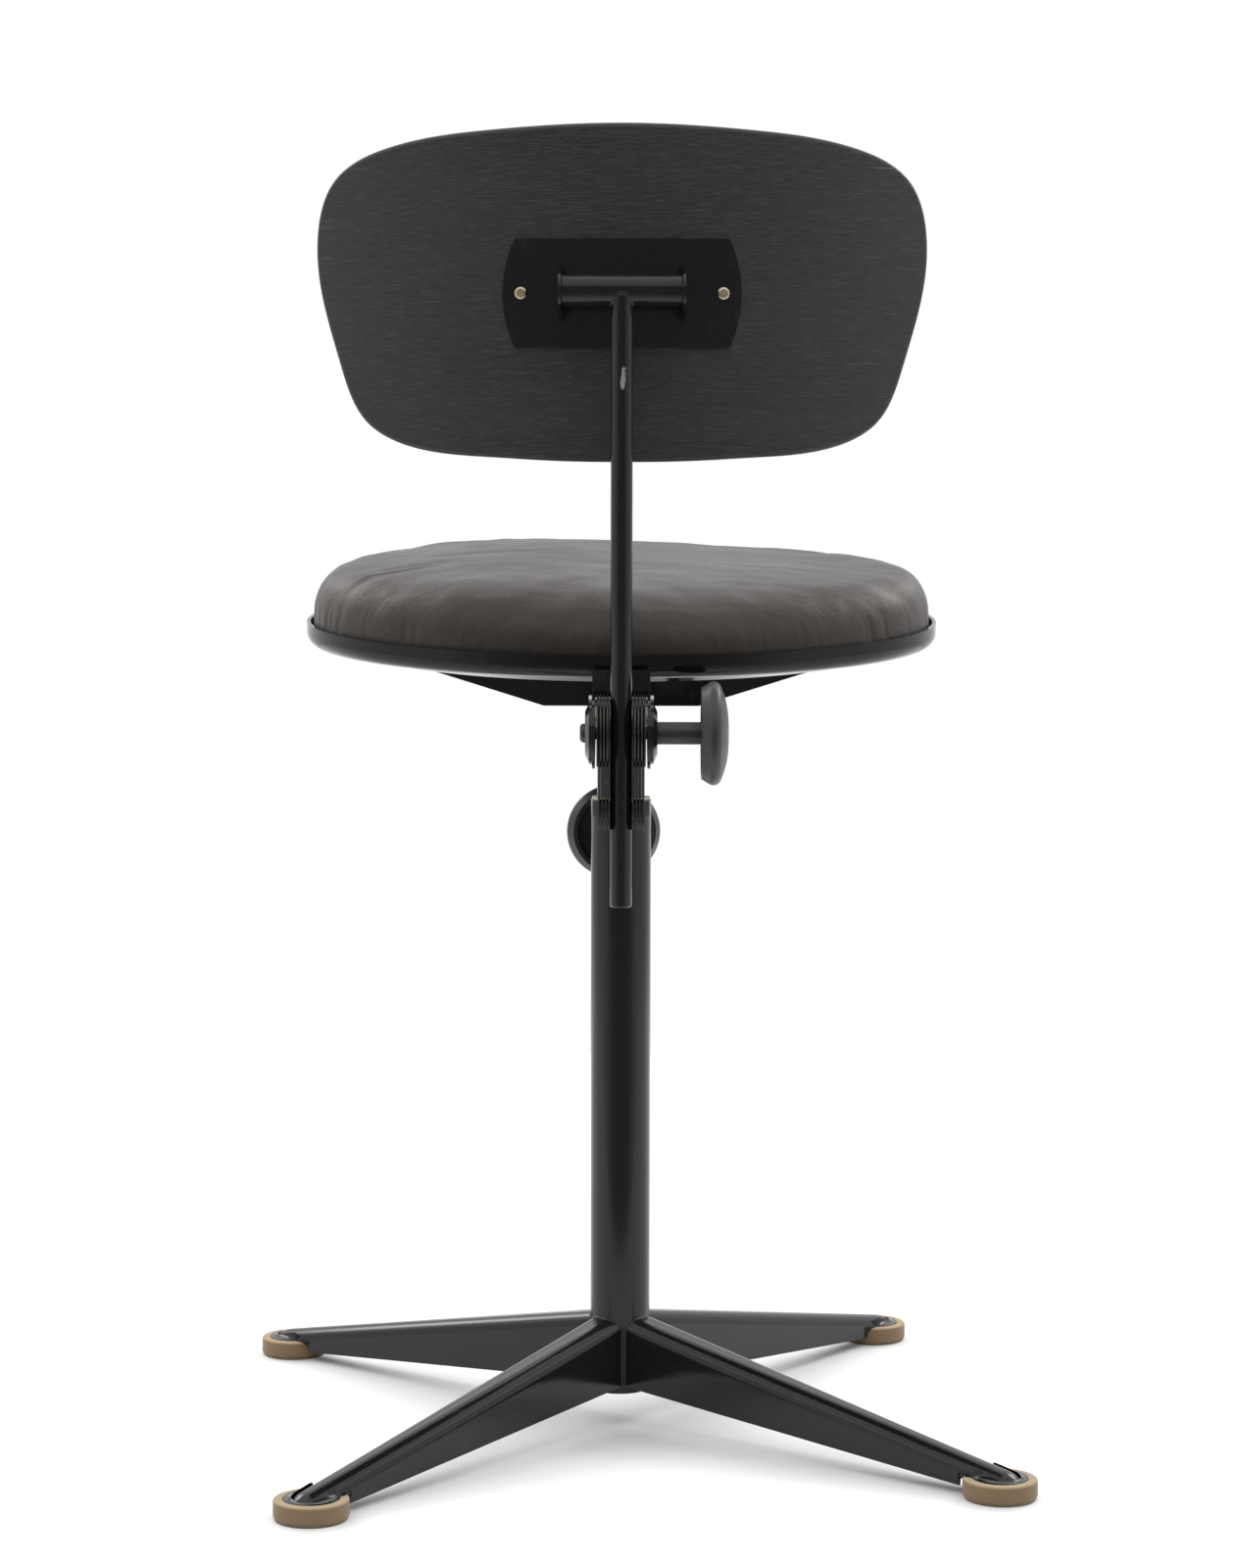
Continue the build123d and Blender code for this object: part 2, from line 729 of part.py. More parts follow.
def make_low_pin():
    """Pin through the swinging plates and the slot of the stem, with a head each end."""
    end = pack_outer - plate_sheet - plate_gap
    with BuildPart() as pin:
        with BuildSketch(side_plane(-end)):
            with Locations((clamp_y, low_pin_z)):
                Circle(low_pin_radius)
        extrude(amount=2 * end)
        for x in (-end - 3.3, end):
            with BuildSketch(side_plane(x)):
                with Locations((clamp_y, low_pin_z)):
                    RegularPolygon(radius=5.2, side_count=6)
            extrude(amount=3.3)
    save(pin, "low_pin")


def make_low_spacers():
    """Washers that keep the swinging plates apart at the lower pin."""
    with BuildPart() as spacers:
        for side in (-1, 1):
            for i in range(plates_a_side - 1):
                near = pack_inner + i * plate_pitch + plate_sheet
                width = plate_pitch - plate_sheet
                with BuildSketch(side_plane(near if side > 0 else -near - width)):
                    with Locations((clamp_y, low_pin_z)):
                        Circle(6.2)
                        Circle(low_pin_radius, mode=Mode.SUBTRACT)
                extrude(amount=width)
    save(spacers, "low_spacers")


def cap_solid(side):
    """Dished pressure cap outside the arm's cheek, wide face inwards."""
    x = side * cap_inner
    with BuildPart() as cap:
        with BuildSketch(Plane((x, clamp_y, clamp_z), x_dir=(0, 1, 0), z_dir=(side, 0, 0))):
            Circle(cap_radius)
        extrude(amount=cap_thick)
        rim = cap.edges().filter_by(GeomType.CIRCLE).sort_by(Axis.X)[-1 if side > 0 else 0]
        chamfer(rim, length=cap_thick * 0.6, length2=6)
        with BuildSketch(side_plane(-60)):
            with Locations((clamp_y, clamp_z)):
                Circle(stud_radius + running)
        extrude(amount=120, mode=Mode.SUBTRACT)
    return cap.part


def make_caps():
    with BuildPart() as fixed_cap:
        add(cap_solid(1))
    save(fixed_cap, "bolt_cap")
    with BuildPart() as thrust_cap:
        add(cap_solid(-1))
    save(thrust_cap, "thrust_cap")


def make_clamp_bolt():
    """Dome-head bolt through both plate packs and the stem; the side knob threads onto its end."""
    start = -(knob_face + knob_thick - 4.2)
    end = cap_inner + cap_thick
    with BuildPart() as bolt:
        with BuildSketch(side_plane(start)):
            with Locations((clamp_y, clamp_z)):
                Circle(stud_radius)
        extrude(amount=end - start)
        with BuildSketch(side_plane(end)):
            with Locations((clamp_y, clamp_z)):
                Circle(6.2)
        extrude(amount=3.4)
        fillet(bolt.edges().sort_by(Axis.X)[-1], radius=2.6)
    save(bolt, "clamp_bolt")


def make_side_knob():
    """Knob of the back clamp with its long threaded hub."""
    seat = Plane((-knob_face, clamp_y, clamp_z), x_dir=(0, 1, 0), z_dir=(-1, 0, 0))
    with BuildPart() as knob:
        add(knob_solid(seat, stud_radius + running, 0.0))
    save(knob, "side_knob")
    with BuildPart() as sleeve:
        with BuildSketch(side_plane(-knob_face)):
            with Locations((clamp_y, clamp_z)):
                Circle(sleeve_radius)
                Circle(stud_radius + running, mode=Mode.SUBTRACT)
        extrude(amount=sleeve_length)
    save(sleeve, "knob_sleeve")


# ---------------------------------------------------------------- stem
def stem_section(inset):
    """Flat oval section: flat sides towards the plates, round front and back."""
    width = stem_width - 2 * inset
    depth = stem_depth - 2 * inset
    Rectangle(width, depth - width)
    for y in (-(depth - width) / 2, (depth - width) / 2):
        with Locations((0, y)):
            Circle(width / 2)


def make_stem():
    """Flat oval tube with a long slot through both flat sides, coped under the cross tube."""
    slot_length = stem_slot_high - stem_slot_low
    with BuildPart() as stem:
        with BuildSketch(Plane((0, clamp_y, stem_bottom))):
            stem_section(0)
        extrude(amount=rock_z - stem_bottom)
        fillet(stem.edges().group_by(Axis.Z)[0], radius=1.5)
        with BuildSketch(Plane((0, clamp_y, stem_bottom + 2 * stem_wall))):
            stem_section(stem_wall)
        extrude(amount=rock_z - stem_bottom, mode=Mode.SUBTRACT)
        with BuildSketch(side_plane(-stem_width)):
            with Locations((clamp_y, (stem_slot_high + stem_slot_low) / 2)):
                SlotOverall(slot_length, 2 * (stud_radius + running), rotation=90)
        extrude(amount=2 * stem_width, mode=Mode.SUBTRACT)
        with BuildSketch(side_plane(-stem_width)):
            with Locations((clamp_y, rock_z)):
                Circle(cross_radius)
        extrude(amount=2 * stem_width, mode=Mode.SUBTRACT)
    save(stem, "stem")


def make_cross_tube():
    with BuildPart() as tube:
        with BuildSketch(side_plane(-cross_length / 2)):
            with Locations((clamp_y, rock_z)):
                Circle(cross_radius)
                Circle(cross_bore, mode=Mode.SUBTRACT)
        extrude(amount=cross_length)
    save(tube, "cross_tube")


def make_rock_bushes():
    with BuildPart() as bushes:
        for x in (-cross_length / 2, cross_length / 2 - 14):
            with BuildSketch(side_plane(x)):
                with Locations((clamp_y, rock_z)):
                    Circle(cross_bore)
                    Circle(stud_radius + running, mode=Mode.SUBTRACT)
            extrude(amount=14)
    save(bushes, "rock_bushes")


# ---------------------------------------------------------------- back
def back_bolt_plane(side, lift):
    """Plane on the bent back at a bolt, its normal square to the surface and pointing rearwards."""
    radius = back_bend + lift
    outward = Vector(side * bolt_turn, sqrt(1 - bolt_turn**2), 0)
    return Plane(Vector(0, back_centre_y, rock_z) + outward * radius, x_dir=(0, 0, 1), z_dir=outward)


def bent_band(inner, outer, low, high):
    with BuildPart() as band:
        with BuildSketch(Plane((0, back_centre_y, low))):
            Circle(outer)
            Circle(inner, mode=Mode.SUBTRACT)
        extrude(amount=high - low)
    return band.part


def make_backrest():
    """Bent plywood back: wide rounded top, narrower rounded foot."""
    low = rock_z - 120
    high = rock_z + 120
    with BuildPart() as back:
        add(bent_band(back_bend - back_thick, back_bend, low, high))
        with BuildSketch(Plane((0, clamp_y - 20, rock_z), x_dir=(1, 0, 0), z_dir=(0, -1, 0))):
            with BuildLine():
                Spline(
                    (0, 110), (86, 106.3), (152, 97), (190, 77), (202.7, 35), (187.5, -43), (169, -83),
                    (142, -98.5), (86, -106.3), (0, -109.5),
                    tangents=[(1, 0), (-1, 0)],
                )
                Line((0, -109.5), (0, 110))
            make_face()
            mirror(about=Plane.YZ)
        extrude(amount=150, mode=Mode.INTERSECT)
        for side in (-1, 1):
            with BuildSketch(back_bolt_plane(side, 0)):
                Circle(back_bolt_radius + 1.5)
            extrude(amount=-back_thick + 1.5, mode=Mode.SUBTRACT)
        rims = back.edges().filter_by(lambda edge: edge.length > 300)
        fillet(rims, radius=back_edge)
    save(back, "backrest")


def make_back_plate():
    """Bent steel plate with two ears that hold the rock pin."""
    half_height = 35.2
    with BuildPart() as plate:
        add(bent_band(back_bend, back_bend + back_sheet, rock_z - 60, rock_z + 60))
        with BuildSketch(Plane((0, clamp_y, rock_z), x_dir=(1, 0, 0), z_dir=(0, -1, 0))):
            with BuildLine():
                Line((70, half_height), (-70, half_height))
                ThreePointArc((-70, half_height), (-78, 0), (-70, -half_height))
                Line((-70, -half_height), (70, -half_height))
                ThreePointArc((70, -half_height), (78, 0), (70, half_height))
            make_face()
        extrude(amount=120, mode=Mode.INTERSECT)
        root = clamp_y - back_offset - 1.2
        for x in (-ear_inner - ear_sheet, ear_inner):
            with BuildSketch(side_plane(x)):
                with Locations((clamp_y, rock_z)):
                    Circle(cross_radius + 1.5)
                with BuildLine():
                    Polyline(
                        (root, rock_z - ear_half_height), (clamp_y, rock_z - cross_radius - 1.5),
                        (clamp_y, rock_z + cross_radius + 1.5), (root, rock_z + ear_half_height), close=True,
                    )
                make_face()
                with Locations((clamp_y, rock_z)):
                    Circle(stud_radius, mode=Mode.SUBTRACT)
            extrude(amount=ear_sheet)
        with BuildSketch(Plane((0, back_centre_y, rock_z - 60))):
            Circle(back_bend)
        extrude(amount=120, mode=Mode.SUBTRACT)
        for side in (-1, 1):
            with BuildSketch(back_bolt_plane(side, -4)):
                Circle(back_bolt_radius + loose)
            extrude(amount=12, mode=Mode.SUBTRACT)
    save(plate, "back_plate")


def make_rock_pin():
    end = ear_inner + ear_sheet
    with BuildPart() as pin:
        with BuildSketch(side_plane(-end)):
            with Locations((clamp_y, rock_z)):
                Circle(stud_radius)
        extrude(amount=2 * end)
    save(pin, "rock_pin")


def make_back_bolts():
    with BuildPart() as bolts:
        for side in (-1, 1):
            with BuildSketch(back_bolt_plane(side, back_sheet)):
                Circle(back_bolt_radius)
            extrude(amount=-(back_sheet + back_thick - 3))
            with BuildSketch(back_bolt_plane(side, back_sheet + 0.15)):
                Circle(4.3)
            extrude(amount=2.6)
            crown = bolts.edges().filter_by(GeomType.CIRCLE).group_by(SortBy.RADIUS)[-1]
        fillet(crown.group_by(Axis.Y)[-1], radius=2.0)
        for side in (-1, 1):
            with BuildSketch(back_bolt_plane(side, back_sheet)):
                Circle(back_bolt_radius)
            extrude(amount=0.3)
    save(bolts, "back_bolts")


def make_back_inserts():
    """Threaded brass inserts in the plywood."""
    with BuildPart() as inserts:
        for side in (-1, 1):
            with BuildSketch(back_bolt_plane(side, -0.1)):
                Circle(back_bolt_radius + 1.5)
                Circle(back_bolt_radius, mode=Mode.SUBTRACT)
            extrude(amount=-back_thick + 1.6)
    save(inserts, "back_inserts")


# ---------------------------------------------------------------- build everything
for leg_angle, leg_name in zip(leg_angles, leg_names):
    make_leg(leg_angle, leg_name)
    make_foot(leg_angle, leg_name)
make_foot_screws()
make_column_tube()
make_column_plug()
make_column_bush()
make_clamp_boss()
make_clamp_pad()
make_height_knob()
make_height_stud()
make_inner_tube()
make_guide_ring()
make_swivel_bush()
make_thrust_washer()
make_swivel_spindle()
make_circlip()
make_seat_pan()
make_under_plate()
make_cushion()
make_bracket()
make_seat_screws()
make_arm()
for plate_side, plate_name in ((1, "left"), (-1, "right")):
    make_fixed_plates(plate_side, plate_name)
    make_swing_plates(plate_side, plate_name)
make_top_pin()
make_low_pin()
make_low_spacers()
make_caps()
make_clamp_bolt()
make_side_knob()
make_stem()
make_cross_tube()
make_rock_bushes()
make_backrest()
make_back_plate()
make_rock_pin()
make_back_bolts()
make_back_inserts()
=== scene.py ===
import json
import math
import random

import bmesh
import bpy
from mathutils import Matrix, Vector, noise


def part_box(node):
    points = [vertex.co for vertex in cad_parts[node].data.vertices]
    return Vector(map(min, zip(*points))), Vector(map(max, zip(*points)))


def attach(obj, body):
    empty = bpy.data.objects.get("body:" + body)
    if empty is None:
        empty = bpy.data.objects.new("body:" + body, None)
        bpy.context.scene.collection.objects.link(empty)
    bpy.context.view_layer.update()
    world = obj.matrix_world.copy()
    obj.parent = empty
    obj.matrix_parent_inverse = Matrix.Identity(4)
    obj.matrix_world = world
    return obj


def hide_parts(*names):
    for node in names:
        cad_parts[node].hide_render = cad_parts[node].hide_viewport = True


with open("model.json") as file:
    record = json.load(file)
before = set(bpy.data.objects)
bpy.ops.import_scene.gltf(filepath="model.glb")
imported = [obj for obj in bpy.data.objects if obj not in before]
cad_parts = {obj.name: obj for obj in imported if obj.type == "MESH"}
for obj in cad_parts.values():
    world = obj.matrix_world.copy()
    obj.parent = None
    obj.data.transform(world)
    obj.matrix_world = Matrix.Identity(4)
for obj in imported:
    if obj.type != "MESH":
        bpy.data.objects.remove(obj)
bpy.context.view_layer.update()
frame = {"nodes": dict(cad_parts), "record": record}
nodes = frame["nodes"]
scene = bpy.context.scene
seatTilt = math.radians(6.0)  # the seat and all under it lean back a little
print("stool: frame loaded,", len(nodes), "nodes")


# colours and small helpers
def linear(hexText):
    parts = [int(hexText[i:i + 2], 16) / 255 for i in (0, 2, 4)]
    return tuple(c / 12.92 if c <= 0.04045 else ((c + 0.055) / 1.055) ** 2.4 for c in parts) + (1.0,)


def addNode(tree, kind, settings={}, inputs={}):
    node = tree.nodes.new(kind)
    for key, value in settings.items():
        setattr(node, key, value)
    for key, value in inputs.items():
        if isinstance(value, bpy.types.NodeSocket):
            tree.links.new(value, node.inputs[key])
        else:
            node.inputs[key].default_value = value
    return node


def startMaterial(name, **constants):
    material = bpy.data.materials.new(name)
    material.use_nodes = True
    tree = material.node_tree
    tree.nodes.clear()
    shader = addNode(tree, "ShaderNodeBsdfPrincipled", {}, constants)
    addNode(tree, "ShaderNodeOutputMaterial", {}, {"Surface": shader.outputs[0]})
    where = addNode(tree, "ShaderNodeTexCoord").outputs["Object"]
    return material, tree, shader, where


def stretched(tree, where, size, turn=(0, 0, 0)):
    # size is the pattern's length along X, Y and Z in metres
    return addNode(tree, "ShaderNodeMapping", {}, {
        "Vector": where, "Scale": tuple(1 / s for s in size), "Rotation": turn}).outputs[0]


def grain(tree, vector, detail=3.0, rough=0.55, scale=1.0):
    return addNode(tree, "ShaderNodeTexNoise", {}, {
        "Vector": vector, "Scale": scale, "Detail": detail, "Roughness": rough}).outputs["Fac"]


def ramp(tree, value, low, high, toLow=0.0, toHigh=1.0):
    return addNode(tree, "ShaderNodeMapRange", {"interpolation_type": "SMOOTHSTEP"}, {
        "Value": value, "From Min": low, "From Max": high, "To Min": toLow, "To Max": toHigh}).outputs[0]


def tint(tree, amount, first, second):
    node = addNode(tree, "ShaderNodeMix", {"data_type": "RGBA"}, {"Factor": amount})
    for index, colour in ((6, first), (7, second)):
        if isinstance(colour, bpy.types.NodeSocket):
            tree.links.new(colour, node.inputs[index])
        else:
            node.inputs[index].default_value = colour
    return node.outputs[2]


def sums(tree, operation, first, second):
    return addNode(tree, "ShaderNodeMath", {"operation": operation}, {0: first, 1: second}).outputs[0]


def vectorOf(tree, *parts):
    return addNode(tree, "ShaderNodeCombineXYZ", {}, dict(enumerate(parts))).outputs[0]


def feed(tree, shader, socketName, value):
    tree.links.new(value, shader.inputs[socketName])


def bump(tree, shader, height, depth, strength=1.0):
    # depth is the relief's height in metres
    node = addNode(tree, "ShaderNodeBump", {}, {"Height": height, "Distance": depth, "Strength": strength})
    feed(tree, shader, "Normal", node.outputs[0])


def meshObject(name, points, faces, edges=()):
    mesh = bpy.data.meshes.new(name)
    mesh.from_pydata([tuple(p) for p in points], list(edges), faces)
    mesh.update()
    thing = bpy.data.objects.new(name, mesh)
    scene.collection.objects.link(thing)
    return thing


def smoothByAngle(mesh, angle):
    mesh.polygons.foreach_set("use_smooth", [True] * len(mesh.polygons))
    mesh.set_sharp_from_angle(angle=math.radians(angle))


def bake(thing, name):
    # the evaluated shape as a plain mesh, with every modifier gone
    bpy.context.view_layer.update()
    evaluated = thing.evaluated_get(bpy.context.evaluated_depsgraph_get())
    mesh = bpy.data.meshes.new_from_object(evaluated)
    mesh.name = name
    thing.modifiers.clear()
    made = bpy.data.objects.new(name, mesh)
    scene.collection.objects.link(made)
    bpy.data.objects.remove(thing)
    return made


def dress(thing, material):
    thing.data.materials.clear()
    thing.data.materials.append(material)
    return thing


def place(thing, material, body):
    dress(thing, material)
    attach(thing, body)
    return thing


# materials
def stoveEnamel(name, colour, roughness, gloss, peel):
    # stoved black enamel on steel: a deep satin black with orange peel, dust specks and a few rubbed patches
    material, tree, shader, where = startMaterial(name, IOR=gloss)
    cloud = grain(tree, stretched(tree, where, (0.055, 0.055, 0.09)), 4.0)
    speck = ramp(tree, grain(tree, stretched(tree, where, (0.0011,) * 3), 1.0), 0.71, 0.76)
    rubbed = ramp(tree, grain(tree, stretched(tree, where, (0.02, 0.02, 0.035)), 6.0, 0.7), 0.6, 0.74)
    base = tint(tree, cloud, linear(colour[0]), linear(colour[1]))
    base = tint(tree, sums(tree, "MULTIPLY", speck, 0.5), base, linear("55524D"))
    base = tint(tree, sums(tree, "MULTIPLY", rubbed, 0.25), base, linear("3A3936"))
    feed(tree, shader, "Base Color", base)
    spread = sums(tree, "MULTIPLY_ADD", rubbed, 0.14)
    spread.node.inputs[2].default_value = roughness
    feed(tree, shader, "Roughness", spread)
    relief = grain(tree, stretched(tree, where, (peel,) * 3), 2.0)  # orange peel is 1 to 2 mm across
    bump(tree, shader, relief, 0.00006, 0.5)
    return material


paint = {"frame": ("101011", "1A1A1B"), "pan": ("0B0B0C", "131314")}
frameEnamel = stoveEnamel("stovedEnamelBlackSatin", paint["frame"], 0.13, 1.4, 0.0014)
panEnamel = stoveEnamel("stovedEnamelBlackGloss", paint["pan"], 0.1, 1.34, 0.0018)


def reworked(material, name):
    # a copy of a finish, with what is needed to change it
    copy = material.copy()
    copy.name = name
    tree = copy.node_tree
    found = {node.type: node for node in tree.nodes}
    shader = found["BSDF_PRINCIPLED"]
    return copy, tree, shader, found["TEX_COORD"].outputs, shader.inputs["Base Color"].links[0].from_socket


chipped = {"middle": (-0.001, 0.2155, 0.7335), "perMetre": (330, 60, 88), "ragged": 1.6, "edge": (1.45, 1.3)}


def scuffedEnamel():
    # the same enamel on the stem, chipped through to grey steel where a hand or a tool has struck it
    material, tree, shader, given, old = reworked(frameEnamel, "stovedEnamelBlackChipped")
    spot = addNode(tree, "ShaderNodeVectorMath", {"operation": "SUBTRACT"}, {
        0: given["Object"], 1: chipped["middle"]})
    near = addNode(tree, "ShaderNodeVectorMath", {"operation": "MULTIPLY"}, {
        0: spot.outputs[0], 1: chipped["perMetre"]})
    reach = addNode(tree, "ShaderNodeVectorMath", {"operation": "LENGTH"}, {0: near.outputs[0]})
    ragged = grain(tree, stretched(tree, given["Object"], (0.0022, 0.0022, 0.006)), 4.0, 0.7)
    ragged = sums(tree, "MULTIPLY", ragged, chipped["ragged"])
    chip = ramp(tree, sums(tree, "ADD", reach.outputs["Value"], ragged), *chipped["edge"])
    feed(tree, shader, "Base Color", tint(tree, chip, old, linear("8B8882")))
    return material


stemEnamel = scuffedEnamel()


def bareEdgeEnamel():
    # enamelled plate whose sheared edge has been left bright, so it shows as one thin light line
    material, tree, shader, given, old = reworked(panEnamel, "enamelledPlateBrightEdge")
    plateFaces = (0, math.sin(seatTilt), math.cos(seatTilt))
    along = addNode(tree, "ShaderNodeVectorMath", {"operation": "DOT_PRODUCT"}, {
        0: given["Normal"], 1: plateFaces})
    edge = ramp(tree, sums(tree, "ABSOLUTE", along.outputs["Value"], 0.0), 0.75, 0.5)
    feed(tree, shader, "Base Color", tint(tree, edge, old, linear("D6D5D1")))
    feed(tree, shader, "Metallic", edge)
    return material


plateEnamel = bareEdgeEnamel()


def turnedSteel(name, light, dark, roughness):
    # plated or blackened steel, with fine tool lines and a dull bloom of handling
    material, tree, shader, where = startMaterial(name, Metallic=1.0)
    bloom = grain(tree, stretched(tree, where, (0.004,) * 3), 5.0, 0.6)
    lines = grain(tree, stretched(tree, where, (0.0004, 0.004, 0.004)), 2.0)
    feed(tree, shader, "Base Color", tint(tree, bloom, linear(dark), linear(light)))
    feed(tree, shader, "Roughness", ramp(tree, bloom, 0.2, 0.8, roughness - 0.08, roughness + 0.12))
    bump(tree, shader, lines, 0.00002, 0.4)
    return material


zincSteel = turnedSteel("zincPlatedSteelTurned", "C9CACB", "8E9092", 0.3)
plateSteel = turnedSteel("blackenedSpringSteelStamped", "5B5A58", "2A2A2A", 0.42)
agedBrass = turnedSteel("agedBrassTurned", "D8CFB4", "8F835F", 0.28)
bronze = turnedSteel("sinteredBronze", "A98A5C", "6E5636", 0.4)


def phenolic():
    # compression-moulded phenolic, satin, gone grey and faintly mottled with handling
    material, tree, shader, where = startMaterial("mouldedPhenolicDarkGrey", IOR=1.55)
    mottle = grain(tree, stretched(tree, where, (0.007,) * 3), 5.0, 0.65)
    flour = grain(tree, stretched(tree, where, (0.0008,) * 3), 2.0)
    base = tint(tree, mottle, linear("191919"), linear("2A2928"))
    base = tint(tree, ramp(tree, flour, 0.62, 0.75, 0, 0.35), base, linear("5E5C58"))
    feed(tree, shader, "Base Color", base)
    feed(tree, shader, "Roughness", ramp(tree, mottle, 0.25, 0.75, 0.36, 0.52))
    bump(tree, shader, flour, 0.00004, 0.35)
    return material


def footRubber():
    # moulded gum rubber, tan; its top ring is paler, partly wear and partly painted light from above, and its
    # lowest few millimetres are darker and greener
    material, tree, shader, where = startMaterial("mouldedGumRubberTan", IOR=1.5, **{"Sheen Weight": 0.15})
    blotch = grain(tree, stretched(tree, where, (0.012, 0.012, 0.006)), 5.0, 0.6)
    powder = grain(tree, stretched(tree, where, (0.0009,) * 3), 2.0)
    high = addNode(tree, "ShaderNodeSeparateXYZ", {}, {0: where}).outputs[2]
    base = tint(tree, blotch, linear("6C563F"), linear("7F694A"))
    # painted light: the top ring, which faces the light above, is made paler, partly for wear
    base = tint(tree, ramp(tree, high, 0.0118, 0.0133), base, linear("A38E6C"))
    # darker and greener in the lowest few millimetres, next to the floor
    base = tint(tree, ramp(tree, high, 0.0035, 0.0, 0, 0.7), base, linear("4D4A36"))
    base = tint(tree, ramp(tree, powder, 0.6, 0.8, 0, 0.4), base, linear("5B4A38"))
    feed(tree, shader, "Base Color", base)
    feed(tree, shader, "Roughness", ramp(tree, blotch, 0.3, 0.7, 0.62, 0.8))
    bump(tree, shader, powder, 0.00008, 0.5)
    return material


def plainMoulded(name, light, dark, roughness):
    # moulded nylon or soft plastic, even and slightly waxy
    material, tree, shader, where = startMaterial(name, IOR=1.53)
    flow = grain(tree, stretched(tree, where, (0.01,) * 3), 3.0)
    feed(tree, shader, "Base Color", tint(tree, flow, linear(dark), linear(light)))
    feed(tree, shader, "Roughness", ramp(tree, flow, 0.3, 0.7, roughness - 0.05, roughness + 0.06))
    bump(tree, shader, grain(tree, stretched(tree, where, (0.0012,) * 3), 1.0), 0.00003, 0.4)
    return material


def seatHide():
    # chrome-tanned cowhide, finished black: pebbled grain, browner where it is rubbed, satin on the crown
    material, tree, shader, where = startMaterial("cowhideBlackFinished", IOR=1.5, **{
        "Coat Weight": 0.05, "Coat Roughness": 0.4, "Sheen Weight": 0.1, "Sheen Roughness": 0.4,
        "Specular Tint": (1.0, 0.91, 0.86, 1.0), "Coat Tint": (1.0, 0.93, 0.89, 1.0)})
    cells = addNode(tree, "ShaderNodeTexVoronoi", {"feature": "DISTANCE_TO_EDGE"}, {
        "Vector": stretched(tree, where, (0.0017,) * 3), "Scale": 1.0, "Randomness": 1.0})
    pebble = ramp(tree, cells.outputs["Distance"], 0.0, 0.22)
    folds = grain(tree, stretched(tree, where, (0.05, 0.006, 0.02), (0, 0, 0.2)), 5.0, 0.62)
    worn = grain(tree, stretched(tree, where, (0.09, 0.07, 0.07)), 5.0, 0.6)
    base = tint(tree, worn, linear("15120F"), linear("2B2621"))
    base = tint(tree, ramp(tree, folds, 0.56, 0.72, 0, 0.5), base, linear("3B3530"))
    base = tint(tree, ramp(tree, pebble, 1.0, 0.3, 0, 0.45), base, linear("0E0D0C"))
    feed(tree, shader, "Base Color", base)
    rough = ramp(tree, worn, 0.3, 0.75, 0.36, 0.5)
    feed(tree, shader, "Roughness", sums(tree, "ADD", rough, ramp(tree, pebble, 1.0, 0.0, 0, 0.12)))
    relief = sums(tree, "ADD", sums(tree, "MULTIPLY", pebble, 0.22), sums(tree, "MULTIPLY", folds, 1.3))
    bump(tree, shader, relief, 0.0006, 0.42)
    return material


def stainedPly():
    # sliced veneer, stained black and lacquered: fine pores along the grain, and pale scratches that grow
    # stronger towards both ends, partly wear and partly painted sheen
    material, tree, shader, where = startMaterial("beechVeneerStainedBlack", IOR=1.5, **{
        "Coat Weight": 0.08, "Coat Roughness": 0.3})
    # pores are 0.1 mm wide, drawn at 0.7 so that they show
    pores = grain(tree, stretched(tree, where, (0.0105, 0.02, 0.0007)), 3.0, 0.6)
    flame = grain(tree, stretched(tree, where, (0.22, 0.2, 0.014)), 5.0, 0.6)
    dashes = ramp(tree, grain(tree, stretched(tree, where, (0.022, 0.03, 0.0016)), 2.0, 0.5), 0.63, 0.7)
    scratch = grain(tree, stretched(tree, where, (0.045, 0.03, 0.0006), (0, 0.16, 0)), 1.0, 0.4)
    scratch = ramp(tree, scratch, 0.735, 0.77)
    parts = addNode(tree, "ShaderNodeSeparateXYZ", {}, {0: where})
    # painted sheen: the pale scratches are made stronger towards both ends, so the ends stand lighter, partly
    # for wear
    side = ramp(tree, sums(tree, "ABSOLUTE", parts.outputs[0], 0.0), 0.08, 0.2)
    base = tint(tree, flame, linear("151515"), linear("232221"))
    base = tint(tree, ramp(tree, pores, 0.48, 0.7, 0, 0.75), base, linear("3A3836"))
    base = tint(tree, sums(tree, "MULTIPLY", dashes, 0.7), base, linear("0C0C0C"))
    wearAndPaintedSheen = sums(tree, "MULTIPLY", scratch, ramp(tree, side, 0.0, 1.0, 0.08, 0.75))
    feed(tree, shader, "Base Color", tint(tree, wearAndPaintedSheen, base, linear("77746F")))
    rough = sums(tree, "ADD", ramp(tree, flame, 0.3, 0.7, 0.36, 0.46), sums(tree, "MULTIPLY", pores, 0.14))
    feed(tree, shader, "Roughness", rough)
    relief = sums(tree, "ADD", pores, sums(tree, "MULTIPLY", dashes, -0.8))
    bump(tree, shader, relief, 0.0004, 0.8)
    return material


knobPhenolic = phenolic()
gumRubber = footRubber()
nylon = plainMoulded("mouldedNylonNatural", "C9C2AE", "B3AB96", 0.42)
plugPlastic = plainMoulded("mouldedPolytheneBlack", "1C1C1C", "111111", 0.5)
cowhide = seatHide()
veneer = stainedPly()
print("stool: materials made")

finishes = {
    "frame_paint": frameEnamel, "pan_paint": panEnamel, "foot_rubber": gumRubber,
    "knob_plastic": knobPhenolic, "steel": zincSteel, "plate_steel": plateSteel, "brass": agedBrass,
    "nylon": nylon, "leather": cowhide, "back_wood": veneer, "plug_plastic": plugPlastic,
}
slotOf = {part["node"]: part["material_slot"] for part in frame["record"]["subparts"]}
bodyOf = {name: body for body, names in frame["record"]["behaviour"]["bodies"].items() for name in names}
for name, thing in nodes.items():
    dress(thing, finishes[slotOf[name]])
dress(nodes["stem"], stemEnamel)
dress(nodes["under_plate"], plateEnamel)
dress(nodes["swivel_bush"], bronze)


